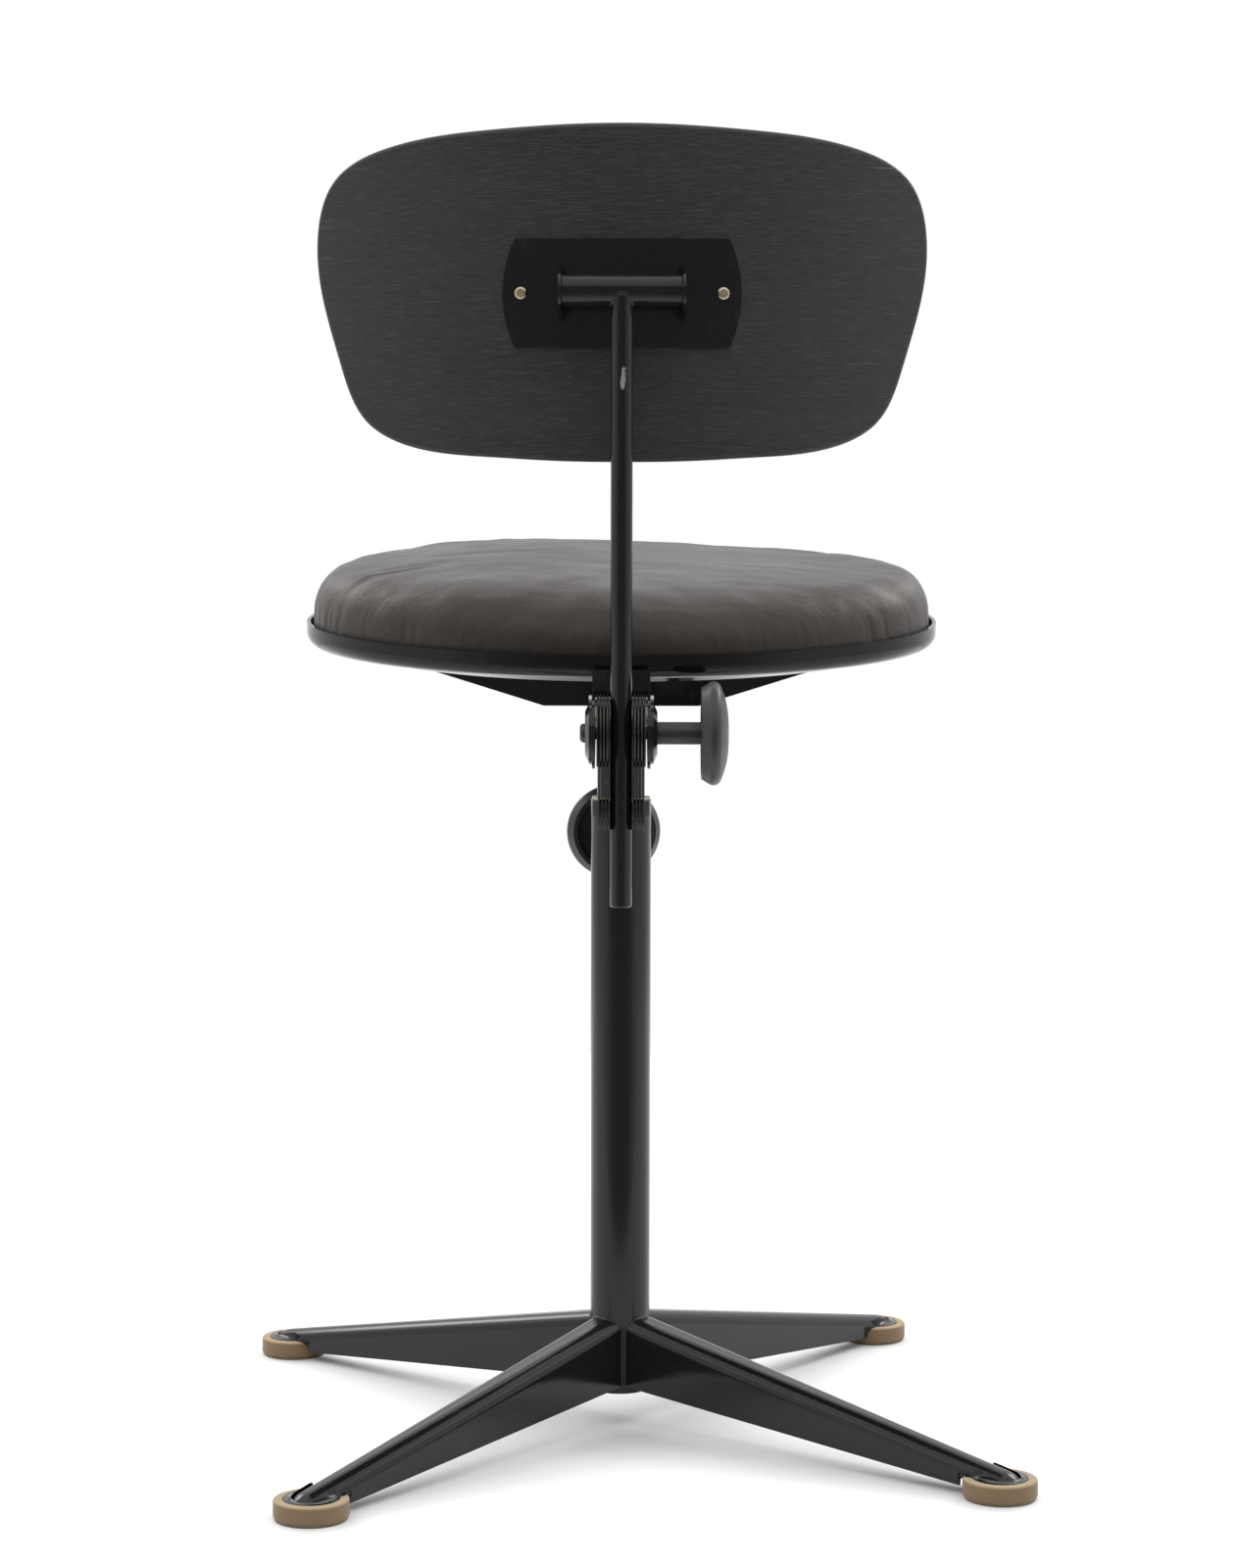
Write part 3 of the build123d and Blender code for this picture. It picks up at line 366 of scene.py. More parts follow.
# sheet metal and turned parts: the same shapes with their edges eased, as enamel and tumbling leave them
def easeEdges(name, newName, width, material, angle=28):
    mesh = nodes[name].data.copy()
    for attribute in [a for a in mesh.attributes if a.name == "custom_normal"]:
        mesh.attributes.remove(attribute)
    shape = bmesh.new()
    shape.from_mesh(mesh)
    bmesh.ops.remove_doubles(shape, verts=shape.verts, dist=2e-6)
    bmesh.ops.dissolve_limit(shape, angle_limit=math.radians(0.6), verts=shape.verts, edges=shape.edges)
    shape.to_mesh(mesh)
    shape.free()
    thing = bpy.data.objects.new(newName + "Draft", mesh)
    scene.collection.objects.link(thing)
    smoothByAngle(mesh, angle)
    edge = thing.modifiers.new("ease", "BEVEL")
    edge.width = width
    edge.segments = 3
    edge.limit_method = "ANGLE"
    edge.angle_limit = math.radians(angle)
    edge.harden_normals = True
    edge.miter_outer = "MITER_ARC"
    edge.use_clamp_overlap = True
    made = bake(thing, newName)
    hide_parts(name)
    return place(made, material, bodyOf[name])


eased = {
    "clamp_arm": ("clampArm", 0.0005, frameEnamel), "seat_bracket": ("seatBracket", 0.0006, frameEnamel),
    "back_plate": ("backPlate", 0.0004, frameEnamel), "stem": ("flatOvalStem", 0.0003, stemEnamel),
    "cross_tube": ("crossTube", 0.0005, frameEnamel),
}
for name, (newName, width, material) in eased.items():
    easeEdges(name, newName, width, material)
print("stool: edges eased")


# seat cushion
cushion = {
    "halfWidth": 0.2168, "front": 0.1978, "rear": 0.1738,  # outline in the seat plane
    "rimHeight": 0.5735, "floor": -0.0133, "corner": 0.006, "gap": 0.0006, "rimTop": 0.0015,
    "sideWide": 0.028, "rearWide": 0.058, "shoulderHigh": 0.0365, "full": 0.86, "rise": 0.0402,
    "around": 144, "voxel": 0.005,
    "pressure": 4.0, "frames": 20, "cap": 0.004, "slack": 0.22,  # the simulation, and how much of it is kept
    "gathers": 110, "seed": 4,
}


def seatPoint(x, y, z):
    lean, level = math.sin(seatTilt), math.cos(seatTilt)
    return Vector((x, y * level + z * lean, cushion["rimHeight"] - y * lean + z * level))


def seatLocal(point):
    lean, level = math.sin(seatTilt), math.cos(seatTilt)
    y, z = point.y, point.z - cushion["rimHeight"]
    return Vector((point.x, y * level - z * lean, y * lean + z * level))


def ovalShare(x, y):
    # 1 on the cushion's outline, 0 in the middle
    depth = cushion["rear"] if y > 0 else cushion["front"]
    return math.hypot(x / cushion["halfWidth"], y / depth)


def cushionForm():
    # rings from the middle of the underside, out, up the side and over the crown
    c = cushion
    rings = [(share, c["floor"]) for share in (0.25, 0.5, 0.75, 0.9)]
    edge = []
    for step in range(5):
        a = math.radians(90 * step / 4)
        edge.append((c["corner"] * (1 - math.sin(a)), c["floor"] + c["corner"] * (1 - math.cos(a))))
    edge += [(c["gap"], -0.003), (c["gap"], c["rimTop"])]
    shoulder = []
    for step in range(1, 13):
        a = math.radians(90 * step / 12)
        height = c["rimTop"] + c["shoulderHigh"] * math.sin(a) ** c["full"]
        shoulder.append((1 - max(0.0, math.cos(a)) ** c["full"], height))
    top = [1 - step / 10 for step in range(1, 10)]
    points, count = [seatPoint(0, 0, c["floor"])], c["around"]

    def ring(share, height, inset=0.0, over=None):
        # over is how far across the shoulder, which is wider at the front and back than at the sides
        for i in range(count):
            a = 2 * math.pi * i / count
            depth = c["rear"] if math.sin(a) > 0 else c["front"]
            wide = c["sideWide"] + (c["rearWide"] - c["sideWide"]) * abs(math.sin(a)) ** 1.6
            gap = inset if over is None else c["gap"] + over * wide
            x = share * (c["halfWidth"] - gap) * math.cos(a)
            y = share * (depth - gap) * math.sin(a)
            points.append(seatPoint(x, y, height))

    for share, height in rings:
        ring(share, height)
    for inset, height in edge:
        ring(1.0, height, inset)
    for over, height in shoulder:
        ring(1.0, height, over=over)
    lastHeight = shoulder[-1][1]
    for share in top:
        ring(share, lastHeight + (c["rise"] - lastHeight) * (1 - share ** 2), over=1.0)
    points.append(seatPoint(0, 0, c["rise"]))
    ringCount = len(rings) + len(edge) + len(shoulder) + len(top)
    faces = [(0, 1 + (i + 1) % count, 1 + i) for i in range(count)]
    for r in range(ringCount - 1):
        low, high = 1 + r * count, 1 + (r + 1) * count
        faces += [(low + i, low + (i + 1) % count, high + (i + 1) % count, high + i) for i in range(count)]
    last = 1 + (ringCount - 1) * count
    faces += [(last + i, last + (i + 1) % count, len(points) - 1) for i in range(count)]
    return meshObject("cushionForm", points, faces)


def recalculate(thing):
    shape = bmesh.new()
    shape.from_mesh(thing.data)
    bmesh.ops.recalc_face_normals(shape, faces=shape.faces)
    shape.to_mesh(thing.data)
    shape.free()


def inflate(thing):
    # a pressure simulation with the pan and underside pinned; how far a point may move is capped
    held = thing.vertex_groups.new(name="inPan")
    start = [v.co.copy() for v in thing.data.vertices]
    for v in thing.data.vertices:
        height = seatLocal(v.co).z
        held.add([v.index], max(0.0, min(1.0, 1.0 - (height - 0.0005) / 0.004)), "REPLACE")
    cloth = thing.modifiers.new("hide", "CLOTH")
    settings = cloth.settings
    settings.quality = 6
    settings.mass = 0.5
    settings.tension_stiffness = 25
    settings.compression_stiffness = 20
    settings.shear_stiffness = 8
    settings.bending_stiffness = 4
    settings.use_pressure = True
    settings.uniform_pressure_force = cushion["pressure"]
    settings.vertex_group_mass = "inPan"
    settings.effector_weights.gravity = 0
    cloth.point_cache.frame_start = 1
    cloth.point_cache.frame_end = cushion["frames"]
    for number in range(1, cushion["frames"] + 1):
        scene.frame_set(number)
    made = bake(thing, "cushionBlown")
    for v, old in zip(made.data.vertices, start):
        move = v.co - old
        v.co = old + move * min(cushion["slack"], cushion["cap"] / max(move.length, 1e-6))
    scene.frame_set(1)
    return made


cover = cushionForm()
recalculate(cover)
remesh = cover.modifiers.new("even", "REMESH")
remesh.mode = "VOXEL"
remesh.voxel_size = cushion["voxel"]
cover = bake(cover, "cushionEven")
cover = inflate(cover)
print("stool: cushion filled,", len(cover.data.vertices), "points")

creases = [  # start, end, width and depth in the seat plane, metres
    ((0.188, 0.075), (0.120, 0.045), 0.0035, 0.0016), ((0.175, 0.055), (0.105, 0.030), 0.003, 0.0010),
    ((0.165, 0.020), (0.090, -0.010), 0.004, 0.0010), ((0.120, 0.000), (0.030, -0.030), 0.004, 0.0008),
    ((-0.060, 0.020), (-0.150, 0.050), 0.004, 0.0008), ((-0.100, -0.040), (-0.170, -0.010), 0.005, 0.0010),
    ((0.060, -0.080), (-0.020, -0.095), 0.006, 0.0009),
]
crown = {  # height, place across the seat and width
    "loose": 0.0011, "full": (0.0032, 0.105, 0.085), "hollow": (0.0022, -0.095, 0.07),
}


def gatherDrop(p, gathers):
    # short puckers just above the rim, most of them at both sides
    turn = math.atan2(p.y, p.x)
    low = max(0.0, 1 - abs(p.z - 0.005) / 0.016)
    side = abs(math.cos(turn)) ** 1.5
    drop = 0.0
    for centre, width, size in gathers:
        away = (turn - centre + math.pi) % (2 * math.pi) - math.pi
        if abs(away) < width * 2.5:
            drop += 0.0011 * size * side * low * math.exp(-(away / width * 2.2) ** 2)
    return drop


def creaseDrop(p):
    # long creases across the crown, shallower towards both ends
    drop, spot = 0.0, Vector((p.x, p.y))
    for start, end, width, depth in creases:
        first, line = Vector(start), Vector(end) - Vector(start)
        t = max(0.0, min(1.0, (spot - first).dot(line) / line.length_squared))
        wander = 0.004 * noise.noise(Vector((t * 3.0, start[0] * 40, 0)))
        gap = abs((spot - first - line * t).length - wander)
        fade = math.sin(math.pi * min(0.97, max(0.03, t))) ** 0.6
        drop += depth * math.exp(-(gap / width) ** 2) * fade
    return drop


def crownRise(p):
    # slack hide, and padding that has worked over to one side
    loose = noise.noise(Vector((p.x * 14, p.y * 22, 3.1)))
    loose += 0.5 * noise.noise(Vector((p.x * 40, p.y * 60, 7.7)))
    full, hollow = (crown[part][0] * math.exp(-((p.x - crown[part][1]) / crown[part][2]) ** 2)
                    for part in ("full", "hollow"))
    return crown["loose"] * loose * min(1.0, p.z / 0.02) + (full - hollow) * min(1.0, p.z / 0.03)


def shapeCover(thing):
    finer = thing.modifiers.new("finer", "SUBSURF")
    finer.levels = finer.render_levels = 1
    made = bake(thing, "seatCushion")
    mesh = made.data
    normals = [n.vector.copy() for n in mesh.vertex_normals]
    rng = random.Random(cushion["seed"])
    gathers = [(rng.uniform(0, 2 * math.pi), rng.uniform(0.010, 0.022), rng.uniform(0.35, 1.0))
               for i in range(cushion["gathers"])]
    for v, normal in zip(mesh.vertices, normals):
        p = seatLocal(v.co)
        if p.z > 0.0:
            v.co += normal * (crownRise(p) - gatherDrop(p, gathers) - creaseDrop(p))
    mesh.update()
    return made


cover = shapeCover(cover)
recalculate(cover)
for v in cover.data.vertices:  # the hide stays inside the pan below the rim
    p = seatLocal(v.co)
    share = ovalShare(p.x, p.y)
    if p.z < 0.001 and share > 1:
        v.co = seatPoint(p.x / share, p.y / share, p.z)
cover.data.polygons.foreach_set("use_smooth", [True] * len(cover.data.polygons))
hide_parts("seat_cushion")
place(cover, cowhide, "seat")
print("stool: cushion covered,", len(cover.data.polygons), "faces")


# Geometry Nodes helpers
def startTree(name, inputs):
    tree = bpy.data.node_groups.new(name, "GeometryNodeTree")
    for label, kind, value in inputs:
        socket = tree.interface.new_socket(name=label, in_out="INPUT", socket_type="NodeSocket" + kind)
        if value is not None:
            socket.default_value = value
    tree.interface.new_socket(name="Geometry", in_out="OUTPUT", socket_type="NodeSocketGeometry")
    return tree, addNode(tree, "NodeGroupInput").outputs


def endTree(tree, geometry):
    real = addNode(tree, "GeometryNodeRealizeInstances", {}, {"Geometry": geometry})
    finish = addNode(tree, "GeometryNodeSetMaterial", {}, {"Geometry": real.outputs[0]})
    material = next(n for n in tree.nodes if n.type == "GROUP_INPUT").outputs["Finish"]
    tree.links.new(material, finish.inputs["Material"])
    addNode(tree, "NodeGroupOutput", {}, {0: finish.outputs[0]})


def grow(carrier, tree, name, values):
    modifier = carrier.modifiers.new("grow", "NODES")
    modifier.node_group = tree
    for item in tree.interface.items_tree:
        if item.in_out == "INPUT" and item.name in values:
            modifier[item.identifier] = values[item.name]
    return bake(carrier, name)


# weld beads: small overlapping ripples along a seam
weld = {"pitch": 0.0011, "width": 0.0032, "height": 0.0018, "uneven": 0.18, "seed": 11}


def weldTree():
    tree, given = startTree("weldBead", [
        ("Geometry", "Geometry", None), ("Ripple Pitch", "Float", 0.001), ("Bead Width", "Float", 0.003),
        ("Bead Height", "Float", 0.0015), ("Uneven", "Float", 0.2), ("Seed", "Int", 1),
        ("Finish", "Material", None)])
    path = addNode(tree, "GeometryNodeMeshToCurve", {}, {"Mesh": given["Geometry"]})
    even = addNode(tree, "GeometryNodeResampleCurve", {"mode": "LENGTH"}, {
        "Curve": path.outputs[0], "Length": given["Ripple Pitch"]})
    tangent = addNode(tree, "GeometryNodeInputTangent")
    up = addNode(tree, "GeometryNodeInputNamedAttribute", {"data_type": "FLOAT_VECTOR"}, {"Name": "beadUp"})
    first = addNode(tree, "FunctionNodeAlignRotationToVector", {"axis": "X"}, {"Vector": tangent.outputs[0]})
    second = addNode(tree, "FunctionNodeAlignRotationToVector", {"axis": "Z", "pivot_axis": "X"}, {
        "Rotation": first.outputs[0], "Vector": up.outputs[0]})
    ball = addNode(tree, "GeometryNodeMeshUVSphere", {}, {"Segments": 10, "Rings": 6, "Radius": 0.5})
    smooth = addNode(tree, "GeometryNodeSetShadeSmooth", {}, {"Geometry": ball.outputs[0]})
    longer = sums(tree, "MULTIPLY", given["Ripple Pitch"], 2.6)  # each ripple runs under the next two
    size = vectorOf(tree, longer, given["Bead Width"], given["Bead Height"])
    vary = addNode(tree, "FunctionNodeRandomValue", {"data_type": "FLOAT"}, {
        2: sums(tree, "SUBTRACT", 1.0, given["Uneven"]), 3: sums(tree, "ADD", 1.0, given["Uneven"]),
        "Seed": given["Seed"]})
    scale = addNode(tree, "ShaderNodeVectorMath", {"operation": "SCALE"}, {0: size, "Scale": vary.outputs[1]})
    beads = addNode(tree, "GeometryNodeInstanceOnPoints", {}, {
        "Points": even.outputs[0], "Instance": smooth.outputs[0],
        "Rotation": second.outputs[0], "Scale": scale.outputs[0]})
    endTree(tree, beads.outputs[0])
    return tree


def seamCarrier(name, seams):
    # each seam is a list of (point, up) pairs
    points, edges, ups = [], [], []
    for seam in seams:
        first = len(points)
        points += [p for p, up in seam]
        ups += [up for p, up in seam]
        edges += [(first + i, first + i + 1) for i in range(len(seam) - 1)]
    carrier = meshObject(name, points, [], edges)
    attribute = carrier.data.attributes.new("beadUp", "FLOAT_VECTOR", "POINT")
    for i, up in enumerate(ups):
        attribute.data[i].vector = up
    return carrier


beadTree = weldTree()
columnLow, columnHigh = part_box("column_tube")
columnRadius = (columnHigh.x - columnLow.x) / 2
legs = {
    "turn": 51.6, "circle": 0.3208, "hubRadius": 0.0132, "noseRadius": 0.3248,
    "hubHalf": 0.0145, "tipHalf": 0.01075,  # half widths at both ends
    "top": 0.0772, "topFall": 0.1936, "under": 0.0288, "underFall": 0.0824,  # at the column, and slopes
    "fold": 0.0105, "noseFold": 0.0102, "foldFrom": 0.262, "foldOver": 0.055, "sheet": 0.002,
    "discRadius": 0.0185, "discLow": 0.012, "discTop": 0.014, "cutBack": 0.0251, "footRim": 0.0147,
    "first": 0.0155, "second": 0.0226,  # where the sheet starts inside the column, and just outside it
}


def legAxes(turn):
    angle = math.radians(turn)
    return Vector((math.cos(angle), math.sin(angle), 0)), Vector((-math.sin(angle), math.cos(angle), 0))


def ridgeAt(radius):
    return legs["top"] - legs["topFall"] * (radius - columnRadius)


def legSeams():
    # up one side, over both folds and the ridge, and down the other side
    seams, foldStart = [], legs["top"] - legs["fold"]
    for leg in range(4):
        out, across = legAxes(legs["turn"] + 90 * leg)
        outline = [(-legs["hubHalf"], legs["under"] + 0.001 + i * 0.003) for i in range(14)]
        for step in range(7):
            a = math.radians(180 - 90 * step / 6)
            x = legs["fold"] * (1 + math.cos(a)) - legs["hubHalf"]
            outline.append((x, foldStart + legs["fold"] * math.sin(a)))
        outline += [(-x, z) for x, z in reversed(outline)]
        seam = []
        for x, z in outline:
            reach = math.sqrt(columnRadius ** 2 - x * x)
            point = out * reach + across * x + Vector((0, 0, z))
            column = (out * reach + across * x) / columnRadius
            skin = across * (1 if x > 0 else -1) if z < foldStart else Vector((0, 0, 1))
            seam.append((point, (column + skin).normalized()))
        seams.append(seam)
    return seams


def ringSeam(centre, axis, radius, count=48):
    axis = Vector(axis).normalized()
    side = axis.orthogonal().normalized()
    other = axis.cross(side)
    seam = []
    for step in range(count + 1):
        a = 2 * math.pi * step / count
        out = side * math.cos(a) + other * math.sin(a)
        seam.append((Vector(centre) + out * radius, (out + axis).normalized()))
    return seam


boss = {"turn": legs["turn"] + 225, "radius": 0.011, "height": 0.4195, "steps": 60}


def bossSeam():
    # the boss meets the round column in a saddle
    seam, (axis, across) = [], legAxes(boss["turn"])
    for step in range(boss["steps"] + 1):
        a = 2 * math.pi * step / boss["steps"]
        x, z = boss["radius"] * math.cos(a), boss["radius"] * math.sin(a)
        reach = math.sqrt(columnRadius ** 2 - x * x)
        point = axis * reach + across * x + Vector((0, 0, boss["height"] + z))
        out = across * math.cos(a) + Vector((0, 0, math.sin(a)))
        seam.append((point, (out + axis).normalized()))
    return seam


def growWelds(name, seams, body, slotName, material, **changes):
    values = {"Ripple Pitch": weld["pitch"], "Bead Width": weld["width"], "Bead Height": weld["height"],
              "Uneven": weld["uneven"], "Seed": weld["seed"], "Finish": material, **changes}
    made = grow(seamCarrier(name + "Path", seams), beadTree, name, values)
    return place(made, material, body)


growWelds("legWelds", legSeams() + [bossSeam()], "base", "frame_paint", frameEnamel)
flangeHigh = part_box("swivel_spindle")[1]
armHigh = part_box("clamp_arm")[1]
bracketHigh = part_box("seat_bracket")[1]
root = {"flange": 0.023, "low": 0.5185, "long": 0.0145}
rootSeams = [ringSeam((0, 0, flangeHigh.z), (0, 0, -1), root["flange"])]
for side in (-1, 1):
    heights = [root["low"] + root["long"] * i / 10 for i in range(11)]
    facing = Vector((side, 1, 0)).normalized()
    rootSeams.append([(Vector((side * armHigh.x, bracketHigh.y, height)), facing) for height in heights])
growWelds("seatWelds", rootSeams, "seat", "frame_paint", frameEnamel)

crossLow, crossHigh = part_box("cross_tube")
crossRadius = (crossHigh.z - crossLow.z) / 2
crossMiddle = (crossHigh + crossLow) / 2
oval = {"halfWidth": 0.0071, "halfDepth": 0.01, "steps": 72}


def copedSeam():
    # round the flat oval stem where it is cut to the tube above it
    seam = []
    for step in range(oval["steps"] + 1):
        a = 2 * math.pi * step / oval["steps"]
        side = 1 if math.sin(a) > 0 else -1
        x = oval["halfWidth"] * math.cos(a)
        y = side * (oval["halfDepth"] - oval["halfWidth"]) + oval["halfWidth"] * math.sin(a)
        depth = min(abs(y), crossRadius * 0.97)
        z = crossMiddle.z - math.sqrt(crossRadius ** 2 - depth ** 2)
        point = Vector((x, crossMiddle.y + y, z))
        seam.append((point, Vector((math.cos(a), math.sin(a), -0.6)).normalized()))
    return seam


growWelds("stemWeld", [copedSeam()], "stem", "frame_paint", frameEnamel,
          **{"Bead Width": 0.0028, "Bead Height": 0.0016})
print("stool: welds laid")


# friction plates, stamped from thin spring steel and stacked each side of the stem
plates = {
    "boltY": 0.205, "boltZ": 0.506, "boltHole": 0.00412, "looseHole": 0.00428, "fixedRadius": 0.0219,
    "pinY": 0.184, "pinZ": 0.526, "pinRadius": 0.003, "lug": 0.0058, "lowPinZ": 0.457, "lowPinRadius": 0.004,
    "swingHalf": 0.012, "swingTop": 0.5285, "swingLow": 0.4435, "corner": 0.005,
    "sheet": 0.001, "pitch": 0.0022, "inner": 0.0073, "step": 0.0011, "count": 4, "ease": 0.00016,
}


def arcPoints(cx, cy, radius, start, end, count):
    turns = [math.radians(start + (end - start) * i / count) for i in range(count + 1)]
    return [(cx + radius * math.cos(a), cy + radius * math.sin(a)) for a in turns]


def holePoints(cx, cy, radius, count):
    return arcPoints(cx, cy, radius, 360, 0, count)[:-1]


def stackTree():
    tree, given = startTree("stampedPlateStack", [
        ("Geometry", "Geometry", None), ("Sheet", "Float", 0.001), ("Pitch", "Float", 0.002),
        ("Count", "Int", 4), ("First", "Float", 0.0), ("Finish", "Material", None)])
    loops = addNode(tree, "GeometryNodeMeshToCurve", {}, {"Mesh": given["Geometry"]})
    face = addNode(tree, "GeometryNodeFillCurve", {"mode": "NGONS"}, {"Curve": loops.outputs[0]})
    solid = addNode(tree, "GeometryNodeExtrudeMesh", {"mode": "FACES"}, {
        "Mesh": face.outputs[0], "Offset": vectorOf(tree, 0.0, 0.0, 1.0),
        "Offset Scale": given["Sheet"], "Individual": False})
    under = addNode(tree, "GeometryNodeFlipFaces", {}, {"Mesh": face.outputs[0]})
    both = addNode(tree, "GeometryNodeJoinGeometry")
    tree.links.new(solid.outputs[0], both.inputs[0])
    tree.links.new(under.outputs[0], both.inputs[0])
    closed = addNode(tree, "GeometryNodeMergeByDistance", {}, {"Geometry": both.outputs[0], "Distance": 1e-6})
    line = addNode(tree, "GeometryNodeMeshLine", {"mode": "OFFSET"}, {
        "Count": given["Count"], "Start Location": vectorOf(tree, 0.0, 0.0, given["First"]),
        "Offset": vectorOf(tree, 0.0, 0.0, given["Pitch"])})
    stack = addNode(tree, "GeometryNodeInstanceOnPoints", {}, {
        "Points": line.outputs[0], "Instance": closed.outputs[0]})
    upright = addNode(tree, "GeometryNodeTransform", {}, {  # local X, Y, Z become Y, Z, X
        "Geometry": stack.outputs[0], "Rotation": (math.pi / 2, 0, math.pi / 2)})
    endTree(tree, upright.outputs[0])
    return tree


def loopCarrier(name, loops):
    points, edges = [], []
    for loop in loops:
        first = len(points)
        points += [(a, b, 0) for a, b in loop]
        edges += [(first + i, first + (i + 1) % len(loop)) for i in range(len(loop))]
    return meshObject(name, points, [], edges)


def wrapHalf(points):
    # one side of the tight wrap round sorted points
    chain = []
    for q in points:
        while len(chain) > 1 and (chain[-1][0] - chain[-2][0]) * (q[1] - chain[-2][1]) <= (
                chain[-1][1] - chain[-2][1]) * (q[0] - chain[-2][0]):
            chain.pop()
        chain.append(q)
    return chain[:-1]


def fixedOutline():
    # round at the bolt, with a lug that reaches up to the top pin: the wrap of two circles
    p = plates
    ring = arcPoints(p["boltY"], p["boltZ"], p["fixedRadius"], 0, 360, 96)[:-1]
    ring += arcPoints(p["pinY"], p["pinZ"], p["lug"], 0, 360, 32)[:-1]
    ring = sorted(set(ring))
    return [wrapHalf(ring) + wrapHalf(ring[::-1]), holePoints(p["boltY"], p["boltZ"], p["looseHole"], 32),
            holePoints(p["pinY"], p["pinZ"], p["pinRadius"], 24)]


def swingOutline():
    p = plates
    y, r = p["boltY"], p["corner"]
    aside, low, high = p["swingHalf"] - r, p["swingLow"] + r, p["swingTop"] - r
    corners = ((y + aside, high), (y - aside, high), (y - aside, low), (y + aside, low))
    outline = []
    for number, (cy, cz) in enumerate(corners):
        outline += arcPoints(cy, cz, r, 90 * number, 90 * (number + 1), 8)
    return [outline, holePoints(y, p["boltZ"], p["boltHole"], 32),
            holePoints(y, p["lowPinZ"], p["lowPinRadius"], 32)]


plateTree = stackTree()
for side, label in ((1, "Left"), (-1, "Right")):
    for loops, word, node, body, offset in (
            (fixedOutline(), "fixedPlates", "fixed_plates_", "seat", plates["step"]),
            (swingOutline(), "swingPlates", "swing_plates_", "swing_link", 0.0)):
        near = plates["inner"] + offset
        first = near if side > 0 else -near - plates["sheet"] - plates["pitch"] * (plates["count"] - 1)
        stack = grow(loopCarrier(word + "Loops", loops), plateTree, word + label + "Raw", {
            "Sheet": plates["sheet"], "Pitch": plates["pitch"], "Count": plates["count"],
            "First": first, "Finish": plateSteel})
        edge = stack.modifiers.new("ease", "BEVEL")
        edge.width = plates["ease"]
        edge.segments = 2
        edge.limit_method = "ANGLE"
        edge.angle_limit = math.radians(50)
        stack = bake(stack, word + label)
        smoothByAngle(stack.data, 35)
        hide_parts(node + label.lower())
        place(stack, plateSteel, body)
print("stool: friction plates stacked")


def halfAt(radius):
    return legs["tipHalf"] + (legs["hubHalf"] - legs["tipHalf"]) * (legs["noseRadius"] - radius) / (
        legs["noseRadius"] - legs["hubRadius"])


# leg ends: the sheet is drawn out into a low flare on the foot's disc
flare = {
    "discRadius": 0.0183, "spread": 0.0075, "back": 0.0175, "rings": 8, "least": 0.0003, "sheet": 0.0004,
    "belowRidge": 0.0016, "most": 0.0055, "fade": 0.002, "sink": 0.0001,
}


def flareOutline():
    # along the leg's side and round its nose: radius, half width, and which way is outwards
    start, outline = legs["circle"] - flare["back"], []
    for i in range(17):
        radius = start + (legs["noseRadius"] - start) * i / 16
        outline.append((radius, halfAt(radius), 0.0, 1.0))
    for i in range(1, 13):
        a = math.radians(90 - 90 * i / 12)
        outline.append((legs["noseRadius"] + legs["tipHalf"] * math.cos(a), legs["tipHalf"] * math.sin(a),
                        math.cos(a), math.sin(a)))
    return outline + [(r, -w, nr, -nw) for r, w, nr, nw in reversed(outline[:-1])]


def legFlares():
    points, faces, outline = [], [], flareOutline()
    wide = flare["rings"] + 1
    for leg in range(4):
        out, across = legAxes(legs["turn"] + 90 * leg)
        first = len(points)
        for r, w, nr, nw in outline:
            away = math.hypot(r - legs["circle"], w)
            room = max(flare["least"], min(flare["spread"], flare["discRadius"] - away))
            height = min(ridgeAt(r) - flare["belowRidge"] - legs["discTop"], flare["most"])
            height = max(flare["sheet"], height * min(1.0, room / flare["fade"]))
            for k in range(wide):
                a = math.radians(90 * k / flare["rings"])
                aside = room * (1 - math.cos(a)) - flare["sheet"] * (k == 0)
                up = legs["discTop"] + height * (1 - math.sin(a)) - flare["sink"]
                points.append(out * (r + nr * aside) + across * (w + nw * aside) + Vector((0, 0, up)))
        for i in range(len(outline) - 1):
            for k in range(flare["rings"]):
                q = first + i * wide + k
                faces.append((q, q + wide, q + wide + 1, q + 1))
    made = meshObject("legFlares", points, faces)
    recalculate(made)
    thick = made.modifiers.new("sheet", "SOLIDIFY")
    thick.thickness = flare["sheet"]
    thick.offset = -1
    made = bake(made, "legFlares")
    smoothByAngle(made.data, 50)
    return place(made, frameEnamel, "base")


legFlares()


# legs: one folded sheet each, open below, with a wide soft fold along both edges and a round nose
sink = 0.0001  # how far the sheet's edge stands into the disc under it


def foldAt(radius):
    t = max(0.0, min(1.0, (radius - legs["foldFrom"]) / legs["foldOver"]))
    return legs["fold"] + (legs["noseFold"] - legs["fold"]) * t * t * (3 - 2 * t)


def lowAt(radius):
    away = legs["circle"] - radius
    if away < legs["discRadius"] + sink:
        return legs["discTop"] - sink
    if away < legs["cutBack"]:
        return legs["footRim"]  # clear of the rubber foot's rim
    return legs["under"] - legs["underFall"] * (radius - columnRadius)


def halfSection(radius):
    # from the middle of the ridge out over the fold and down the side: distance out, drop below the ridge
    half, fold = halfAt(radius), foldAt(radius)
    line = [((half - fold) * k / 3, 0.0) for k in range(3)]
    for k in range(11):
        a = math.radians(90 * k / 10)
        line.append((half - fold + fold * math.sin(a), fold * (1 - math.cos(a))))
    depth = ridgeAt(radius) - lowAt(radius)
    return line + [(half, fold + (depth - fold) * k / 4) for k in range(1, 5)]


